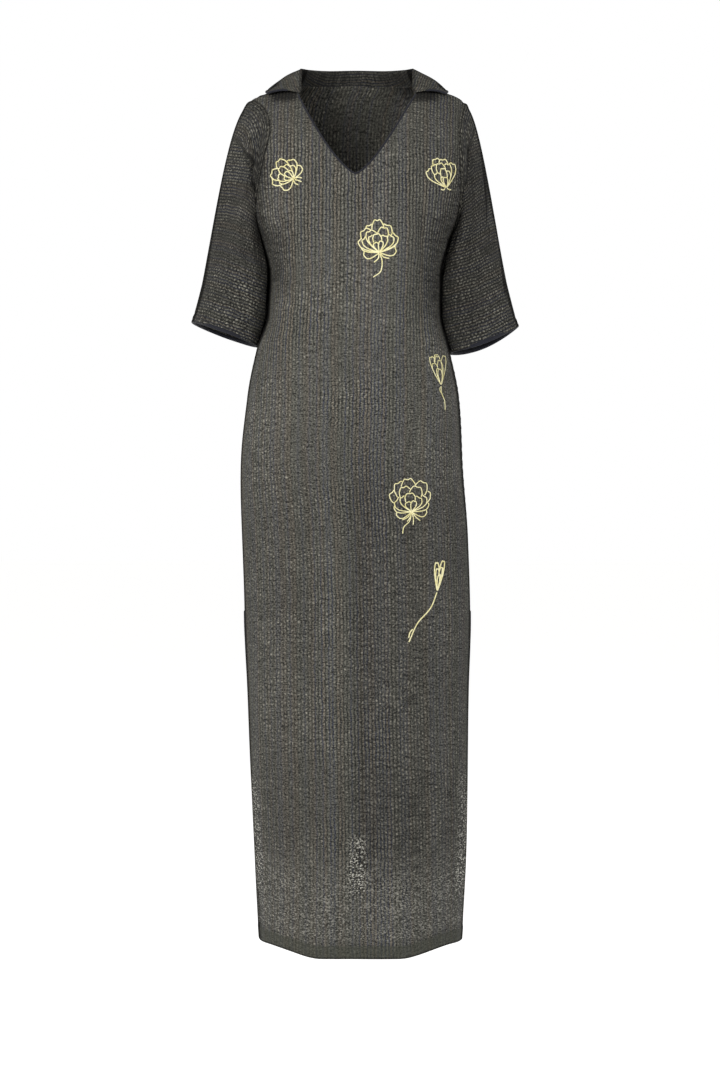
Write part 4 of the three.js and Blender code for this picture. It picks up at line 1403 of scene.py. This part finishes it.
# Where the weave shows clearly, in metres from the shoulders' middle: the heights between which
# it comes up; below them its middle band, with that band's edges; how much is left elsewhere; and
# the lower and the upper end of the crisp chest.
CLEAR_ABOVE = (-0.47, -0.38)
CLEAR_MIDDLE, CLEAR_EDGE, CLEAR_LEAST = 0.004, (0.078, 0.042), 0.38
CHEST_LOW, CHEST_HIGH = (-0.285, -0.235), (-0.130, -0.080)

# The yarns' noises: grains to the metre across and along, seed, detail, roughness, how much they
# lighten and darken the cloth, and how much they raise it.
YARNS = {
    "grain": (560, 400, 0.0, 1.0, 0.5, 3.6, 0.9),
    "fibre": (2300, 1100, 4.0, 2.0, 0.6, 1.0, 0.25),
    "slub": (75, 520, 2.0, 1.0, 0.5, 1.7, 0.5),
    "dash": (330, 700, 12.0, 1.0, 0.5, 3.2, 0.0),
    "crinkle": (32, 170, 8.0, 2.0, 0.6, 1.3, 1.6),
}
COLUMN_UP, PICK_UP = 0.30, 0.45   # how much the columns and the picks raise it
RELIEF = 0.0011                   # height of 1, in metres
COLUMN_MEAN = 0.6                 # where a column is as light as its cloth
PICK_LIGHT, HEM_EVEN = 0.75, 0.6  # share of the picks' and of the doubled hem's own colour
SHEER_DARK = 0.40                 # how much darker it is where light comes through
# The painted shade at the rim where the cloth turns away, and the least tone anywhere:
TURNED_AWAY = 0.14                # tone that is left where it turns away
DARKEST = 0.10                    # and the least anywhere
HOLES = (330, 130, 560)           # pale holes to the metre, sideways, backward and upward


def weave_pattern(n, uv, raw, stripe, pick):
    """Columns across the map and picks along each, on a map that wanders a little. The picks lie
    half a pick higher on every other column, and by up to PICK_DRIFT more at random. Gives that
    map's two numbers, how high the columns and the picks stand, and a random number for each
    column and for each groove."""

    def wandered(value, waves):
        """One number of the map with slow shifts, each half its reach either way."""
        first, second = (
            swing(n.noise(n.vectors("ADD", uv, shift), size, 1.0), reach)
            for size, reach, shift in waves)
        return value + (first + second)

    u, v = wandered(raw[0], WANDER_ACROSS), wandered(raw[1], WANDER_ALONG)
    across = u / stripe
    column_id = n.math("FLOOR", across)
    column_seed = n.white(column_id, 7.0)
    groove_seed = n.white(n.math("FLOOR", across + 0.5), 11.0)
    brick = n.math("MODULO", abs(column_id), 2.0) * 0.5
    down = v / pick + (column_seed * PICK_DRIFT + brick)
    strength = n.smooth(n.white(column_id, n.math("FLOOR", down), 3.0), 0.0, 1.0, *PICK_STRENGTH)
    centred = abs(n.math("FRACT", across) - 0.5)
    middle = abs(n.math("FRACT", down) - 0.5)
    columns = n.smooth(centred, *COLUMN_EDGE)
    picks = n.smooth(centred, *PICK_ACROSS) * n.smooth(middle, *PICK_DOWN) * strength
    return u, v, columns, picks, column_seed, groove_seed


def clear_places(n, place, shade, clarity, crisp):
    """Where the weave shows: how far above the waist the cloth is, how clear its columns and its
    picks are, and how crisp its chest is. The columns are clear in patches, above the waist and
    down the middle; the picks are clear in other patches and wherever the cloth is shaded."""
    x, _, z = n.split(place)
    upper = n.smooth(z, *CLEAR_ABOVE)
    centre = n.smooth(abs(x - CLEAR_MIDDLE), *CLEAR_EDGE)
    patches = n.smooth(n.noise(place, 9, 2.0, 0.6), 0.40, 0.62, 0.35 * clarity, clarity)
    clear = patches * (n.math("MAXIMUM", upper, centre) * (1 - CLEAR_LEAST) + CLEAR_LEAST)
    dotted = n.smooth(n.noise(n.vectors("ADD", place, (5, 2, 9)), 13, 2.0, 0.6), 0.40, 0.60, 0.25)
    dotted = n.math("MAXIMUM", dotted, n.smooth(shade, 0.15, 0.40, 0.0, 1.5))
    chest = n.smooth(z, *CHEST_LOW, 0.0, crisp) * n.smooth(z, *CHEST_HIGH, 1.0, 0.0)
    return upper, clear, dotted, chest


def striped_material(
        name, sizes, colours, depth, dark, contrast, clarity, sand, scale, turn, crisp):
    """The crinkled cloth, with the settings that WEAVES lists: columns a stripe wide with darker
    grooves between, some of them navy and some columns taupe; lighter raised picks along each;
    and slubs across and a grain of yarn over all. It has painted shade where it turns away and
    wherever the look paints shade, and where light comes through it is darker and flecked with pale
    holes."""
    n = Nodes(name)
    uv, place = n.cloth_map(), n.place()
    sheer, doubled, shade = n.split(n.add("ShaderNodeAttribute", "Vector", attribute_name=LOOK))
    raw = n.split(uv)[:2]
    u, v, columns, picks, column_seed, groove_seed = weave_pattern(
        n, uv, raw, sizes.stripe * scale, sizes.pick * scale)
    upper, clear, dotted, chest = clear_places(n, place, shade, clarity, crisp)
    picks = picks * dotted
    cleared = (columns - COLUMN_MEAN) * clear + COLUMN_MEAN

    def yarns(kind, u, v):
        """A noise that YARNS lists, on a map: how much lighter and how much higher it is."""
        across, along, seed, detail, roughness, tone, height = YARNS[kind]
        noise = n.noise(n.vector(u * across, v * along, seed), 1.0, detail, roughness)
        return swing(noise, tone), noise * height

    (grain, grain_up), (fibre, fibre_up) = (yarns(kind, u, v) for kind in ("grain", "fibre"))
    (slub, slub_up), (dash, _), (crinkle, crinkle_up) = (
        yarns(kind, *raw) for kind in ("slub", "dash", "crinkle"))
    broad = swing(n.noise(place, 6, 3.0, 0.6), 0.35)

    groove = n.mix(n.smooth(groove_seed, *NAVY_GROOVES), colours.groove, colours.navy)
    ground = n.mix(n.smooth(column_seed, *TAUPE_COLUMNS), colours.ground, colours.taupe)
    light = [contrast * part for part in colours.pick]
    colour = n.mix(picks * (PICK_LIGHT * contrast), n.mix(cleared, groove, ground), light)
    colour = n.mix(doubled * HEM_EVEN, colour, colours.doubled)

    rough = (grain * sand + (slub + fibre)) + crinkle * dotted
    rough = (rough + dash * sand * (1.0 - upper * 0.8)) * (1.0 - doubled * 0.5)
    # Painted shade: a dark rim where the cloth turns away, and the look's painted shade
    facing = n.add("ShaderNodeLayerWeight", "Facing", {"Blend": 0.5})
    away = n.smooth(facing, *turn, 1.0, TURNED_AWAY)
    tone = (1.0 + (rough + broad)) * (dark - doubled * 0.06)
    tone = tone * (1.0 - (sheer * SHEER_DARK + shade)) * ((columns - COLUMN_MEAN) * chest + 1.0)
    toned = n.vectors("SCALE", colour, n.math("MAXIMUM", tone * away, DARKEST))
    holes = n.noise(n.vectors("MULTIPLY", place, HOLES), 1.0, 2.0, 0.7)
    lit = n.mix(n.smooth(holes, 0.52, 0.63) * sheer, toned, colours.fleck)

    height = (cleared * COLUMN_UP + picks * PICK_UP) + (grain_up + slub_up)
    height = height + fibre_up + crinkle_up * dotted
    roughness = n.smooth(fibre, -0.2, 0.2, 0.80, 0.95)
    return n.shade(lit, roughness, n.bump(height, RELIEF * depth), specular=away * SHINE)


def trim_material(name, colour, light, scale):
    """Plain woven tape: fine crossing yarns and a slow change of tone."""
    n = Nodes(name)
    place = n.place()
    fine, slow = n.noise(place, scale, 2.0, 0.6), n.noise(place, 30)
    tone = n.smooth(fine, *NOISE_RANGE) * n.smooth(slow, *NOISE_RANGE, 0.5)
    roughness = n.smooth(slow, *NOISE_RANGE, 0.78, 0.9)
    return n.shade(n.mix(tone, colour, light), roughness, n.bump(fine, 0.0004), sheen=0.1)


TWIST = (3900.0, 1500.0)          # radians of the thread's strands to the metre, along and round


def thread_material(name, colour, deep):
    """Twisted thread: slanting strands along its map, with painted shade between them, and a slow
    change of tone.
    """
    n = Nodes(name)
    along, around, _ = n.split(n.cloth_map())
    strand = n.math("SINE", along * TWIST[0] + around * TWIST[1]) * 0.5 + 0.5
    slow = n.noise(n.place(), 160)
    mixed = n.mix(n.smooth(slow, 0.38, 0.66, 0.0, 0.5), colour, deep)
    # Painted shade in the grooves between the strands
    mixed = n.mix(n.smooth(strand, 0.0, 0.45, 0.45, 0.0), mixed, deep)
    roughness = n.smooth(slow, *NOISE_RANGE, 0.42, 0.55)
    return n.shade(mixed, roughness, n.bump(strand, 0.0003), sheen=0.05)


# ---- Operators -------------------------------------------------------------------------------
def settings():
    """The sizes, the colours and the stage, as they are set in the scene."""
    scene = bpy.context.scene
    return scene.tunic_sizes, scene.tunic_colours, scene.tunic_stage


def weave(name):
    """One of the striped cloths, made the first time it is asked for."""
    sizes, colours, _ = settings()
    return bpy.data.materials.get(name) or striped_material(name, sizes, colours, **WEAVES[name])


def cut_size(surface, hem):
    """Width and length of the piece's flat map with its allowances, in metres, and the piece's
    flat area with a seam allowance along most of its edges and the hem's cloth."""
    points, quads, uv, _ = surface
    seam, hem = SEAM_ALLOWANCE * MM, hem * MM
    width, length = np.ptp(uv, axis=0) * MM + 2 * seam + (0, hem)
    area = np.linalg.norm(crossed(points, quads), axis=1).sum() / 2 * MM ** 2
    area += 2 * (width + length) * seam * SEAM_EDGES + width * hem * HEM_EDGES
    return (float(width), float(length)), float(min(area, 0.999 * width * length))


def cloth_piece(name, surface, thickness, cloth_name, node, hem=0):
    """A sheet of cloth: a wall round a surface. The flat size that it is cut to is worked out but
    not kept.
    """
    piece = add_object(name, [wall(surface, thickness / MM)], weave(cloth_name), [node])
    flat, area = cut_size(surface, hem)
    return piece


def finished(made):
    """Ends an operator, or stops it with an error where a piece came out empty."""
    if not made or any(not piece.data.polygons for piece in made):
        raise RuntimeError("a piece came out empty")
    return {"FINISHED"}


class DRESS_OT_front(bpy.types.Operator):
    """Build the front panel with its V neck, folds, creases and doubled hem"""

    bl_idname = "dress.front"
    bl_label = "Front panel"
    bl_options = {"REGISTER", "UNDO"}

    def execute(self, context):
        sizes, _, _ = settings()
        return finished([cloth_piece(
            "front_panel", front_panel(sizes.pucker / MM), sizes.cloth, "striped_weave", "front",
            HEM_ALLOWANCE)])


class DRESS_OT_back(bpy.types.Operator):
    """Build the back panel, which hangs a little further back than the front at the slits"""

    bl_idname = "dress.back"
    bl_label = "Back panel"
    bl_options = {"REGISTER", "UNDO"}

    def execute(self, context):
        sizes, _, _ = settings()
        return finished([cloth_piece(
            "back_panel", back_panel(sizes.pucker / MM), sizes.cloth, "striped_weave", "back",
            HEM_ALLOWANCE)])


class DRESS_OT_sleeves(bpy.types.Operator):
    """Build both sleeves, with their stripes round the arm"""

    bl_idname = "dress.sleeves"
    bl_label = "Sleeves"
    bl_options = {"REGISTER", "UNDO"}

    def execute(self, context):
        sizes, _, _ = settings()
        return finished([cloth_piece(
            f"{name}_cloth", sleeve_cloth(name, sizes.pucker / MM), sizes.cloth, "sleeve_weave",
            name) for name in SLEEVES])


class DRESS_OT_collar(bpy.types.Operator):
    """Build the turned collar, fall and stand in one"""

    bl_idname = "dress.collar"
    bl_label = "Collar"
    bl_options = {"REGISTER", "UNDO"}

    def execute(self, context):
        sizes, _, _ = settings()
        return finished([cloth_piece(
            "collar_fall", collar_cloth(), sizes.collar, "collar_weave", "collar")])


class DRESS_OT_trims(bpy.types.Operator):
    """Build the navy edges of neck, collar, cuffs and slits"""

    bl_idname = "dress.trims"
    bl_label = "Navy trims"
    bl_options = {"REGISTER", "UNDO"}

    def execute(self, context):
        sizes, colours, _ = settings()
        navy = trim_material("navy_tape", colours.binding, colours.binding_light, 2400)
        edge, piping, binding = (x / MM / 2 for x in (sizes.edging, sizes.piping, sizes.binding))
        path, up, inward = collar_edge_path()
        rods = {
            "neck_edge": (["neck_binding"], [sweep(*neck_edge_path(), edge, edge * 0.8, 10)]),
            "collar_edge": (["collar_piping"], [
                sweep(path + inward * piping * 0.35, up, piping, piping * 0.85, 10)])}
        for name in SLEEVES:
            rods[name.replace("sleeve", "cuff_edge")] = (
                [name.replace("sleeve", "cuff_binding")],
                [sweep(*cuff_path(name), binding, 1.5, 12, closed=True)])
        rods["slit_edges"] = ([], [
            sweep(*slit_edge_path(*slit), edge, edge * 1.2, 8) for slit in SLIT_EDGES])
        return finished([
            add_object(name, walls, navy, nodes)
            for name, (nodes, walls) in rods.items()])


class DRESS_OT_stitching(bpy.types.Operator):
    """Build the stitches of the hem and the slits"""

    bl_idname = "dress.stitching"
    bl_label = "Stitching"
    bl_options = {"REGISTER", "UNDO"}

    def execute(self, context):
        sizes, colours, _ = settings()
        thread = trim_material("sewing_thread", colours.sewing, colours.sewing_light, 3000)
        half = sizes.cloth / MM / 2
        lines = [hem_line(face, half - 0.35) for face in ("front", "back")]
        lines += [slit_line(*edge, half + 0.1) for edge in SLIT_EDGES]
        rows = [stitches(spaced(*line), STITCH_LENGTH, STITCH_RADIUS) for line in lines]
        return finished([add_object("stitching", rows, thread)])


class DRESS_OT_flowers(bpy.types.Operator):
    """Stitch the six outlined flowers on the front"""

    bl_idname = "dress.flowers"
    bl_label = "Stitched flowers"
    bl_options = {"REGISTER", "UNDO"}

    def execute(self, context):
        sizes, colours, _ = settings()
        gold = thread_material("gold_thread", colours.thread, colours.thread_deep)
        lift, half = sizes.cloth / MM / 2 + 0.25, sizes.thread / MM / 2
        made = []
        for name, flower in FLOWERS.items():
            paths = [on_front(resampled(line, 0.9), lift) for line in flower_lines(flower)]
            rods = [sweep(*path, half * flower["thread"], 0.55, 8) for path in paths]
            made.append(add_object(name, rods, gold))
        return finished(made)


class DRESS_OT_stage(bpy.types.Operator):
    """Set up the floor, the lights, the world and the camera"""

    bl_idname = "dress.stage"
    bl_label = "Stage"
    bl_options = {"REGISTER", "UNDO"}

    def execute(self, context):
        _, _, stage = settings()
        scene = context.scene
        floor = make_floor(-LENGTH * MM - stage.drop)
        lights = [
            area_light(name, stage.key if name == "key" else stage.fill, *lamp)
            for name, lamp in LAMPS.items()]
        make_world(scene, stage.ambient)
        scene.view_settings.view_transform = "Standard"
        scene.view_settings.look = "None"
        data = bpy.data.cameras.new("camera")
        data.lens, data.sensor_width, data.sensor_fit = stage.lens, 36, "AUTO"
        data.dof.use_dof = False
        camera = bpy.data.objects.new("camera", data)
        camera.location = (CAMERA_X, -stage.distance, stage.height)
        camera.rotation_euler = (math.radians(90), 0, 0)
        scene.collection.objects.link(camera)
        scene.camera = camera
        if scene.camera is None or floor.name not in scene.objects:
            raise RuntimeError("the stage isn't complete")
        return {"FINISHED"}


def make_floor(height):
    """A plain pale floor that glows faintly, so that it fades into the white behind it."""
    mesh = bpy.data.meshes.new("floor")
    wide, deep = FLOOR_SIZE
    corners = [(-wide, -wide), (wide, -wide), (wide, deep), (-wide, deep)]
    mesh.from_pydata([(x, y, height) for x, y in corners], [], [(0, 1, 2, 3)])
    paint = Nodes("floor")
    paint.put(paint.shader.inputs, {"Emission Color": (1, 1, 1), "Emission Strength": FLOOR_GLOW})
    mesh.materials.append(paint.shade((0.9, 0.9, 0.9), 0.9))
    floor = bpy.data.objects.new("floor", mesh)
    bpy.context.scene.collection.objects.link(floor)
    return floor


def area_light(name, power, at, aim, size, colour):
    """A square lamp at a place, turned towards aim."""
    data = bpy.data.lights.new(name, "AREA")
    data.energy, data.size, data.color = power, size, colour
    lamp = bpy.data.objects.new(name, data)
    lamp.location = at
    way = np.array(aim) - np.array(at)
    flat = math.hypot(way[0], way[1])
    lamp.rotation_euler = (math.atan2(flat, -way[2]), 0, math.atan2(way[1], way[0]) - math.pi / 2)
    bpy.context.scene.collection.objects.link(lamp)
    return lamp


def make_world(scene, strength):
    """White to the camera, and a softer even light on everything else."""
    world = bpy.data.worlds.new("studio")
    world.use_nodes = True
    tree = world.node_tree
    tree.nodes.clear()
    output = tree.nodes.new("ShaderNodeOutputWorld")
    rays = tree.nodes.new("ShaderNodeLightPath")
    mixed = tree.nodes.new("ShaderNodeMixShader")
    even, seen = (tree.nodes.new("ShaderNodeBackground") for _ in range(2))
    even.inputs["Color"].default_value = (1.0, 0.995, 0.98, 1)
    even.inputs["Strength"].default_value = strength
    seen.inputs["Color"].default_value = (1, 1, 1, 1)
    tree.links.new(rays.outputs["Is Camera Ray"], mixed.inputs[0])
    tree.links.new(even.outputs[0], mixed.inputs[1])
    tree.links.new(seen.outputs[0], mixed.inputs[2])
    tree.links.new(mixed.outputs[0], output.inputs[0])
    scene.world = world


class DRESS_PT_panel(bpy.types.Panel):
    """Sizes, colours and the steps of the build"""

    bl_label = "Tunic dress"
    bl_idname = "DRESS_PT_panel"
    bl_space_type = "VIEW_3D"
    bl_region_type = "UI"
    bl_category = "Tunic dress"

    def draw(self, context):
        layout, scene = self.layout, context.scene
        for title, group in (
                ("Sizes", scene.tunic_sizes), ("Colours", scene.tunic_colours),
                ("Stage", scene.tunic_stage)):
            box = layout.box()
            box.label(text=title)
            for key in group.__annotations__:
                box.prop(group, key)
        for name in STEPS:
            layout.operator(f"dress.{name}")


STEPS = ("front", "back", "sleeves", "collar", "trims", "stitching", "flowers", "stage")
CLASSES = (
    TunicSizes, TunicColours, TunicStage, DRESS_OT_front, DRESS_OT_back, DRESS_OT_sleeves,
    DRESS_OT_collar, DRESS_OT_trims, DRESS_OT_stitching, DRESS_OT_flowers, DRESS_OT_stage,
    DRESS_PT_panel)
GROUPS = (("tunic_sizes", TunicSizes), ("tunic_colours", TunicColours), ("tunic_stage", TunicStage))


def register():
    """Adds the classes and the scene's three groups of settings."""
    for cls in CLASSES:
        bpy.utils.register_class(cls)
    for name, group in GROUPS:
        setattr(bpy.types.Scene, name, bpy.props.PointerProperty(type=group))


def unregister():
    """Takes them away again, last first."""
    for name, _ in reversed(GROUPS):
        delattr(bpy.types.Scene, name)
    for cls in reversed(CLASSES):
        bpy.utils.unregister_class(cls)


def main():
    """Runs every step in order."""
    register()
    for name in STEPS:
        getattr(bpy.ops.dress, name)()


if __name__ == "__main__":
    main()
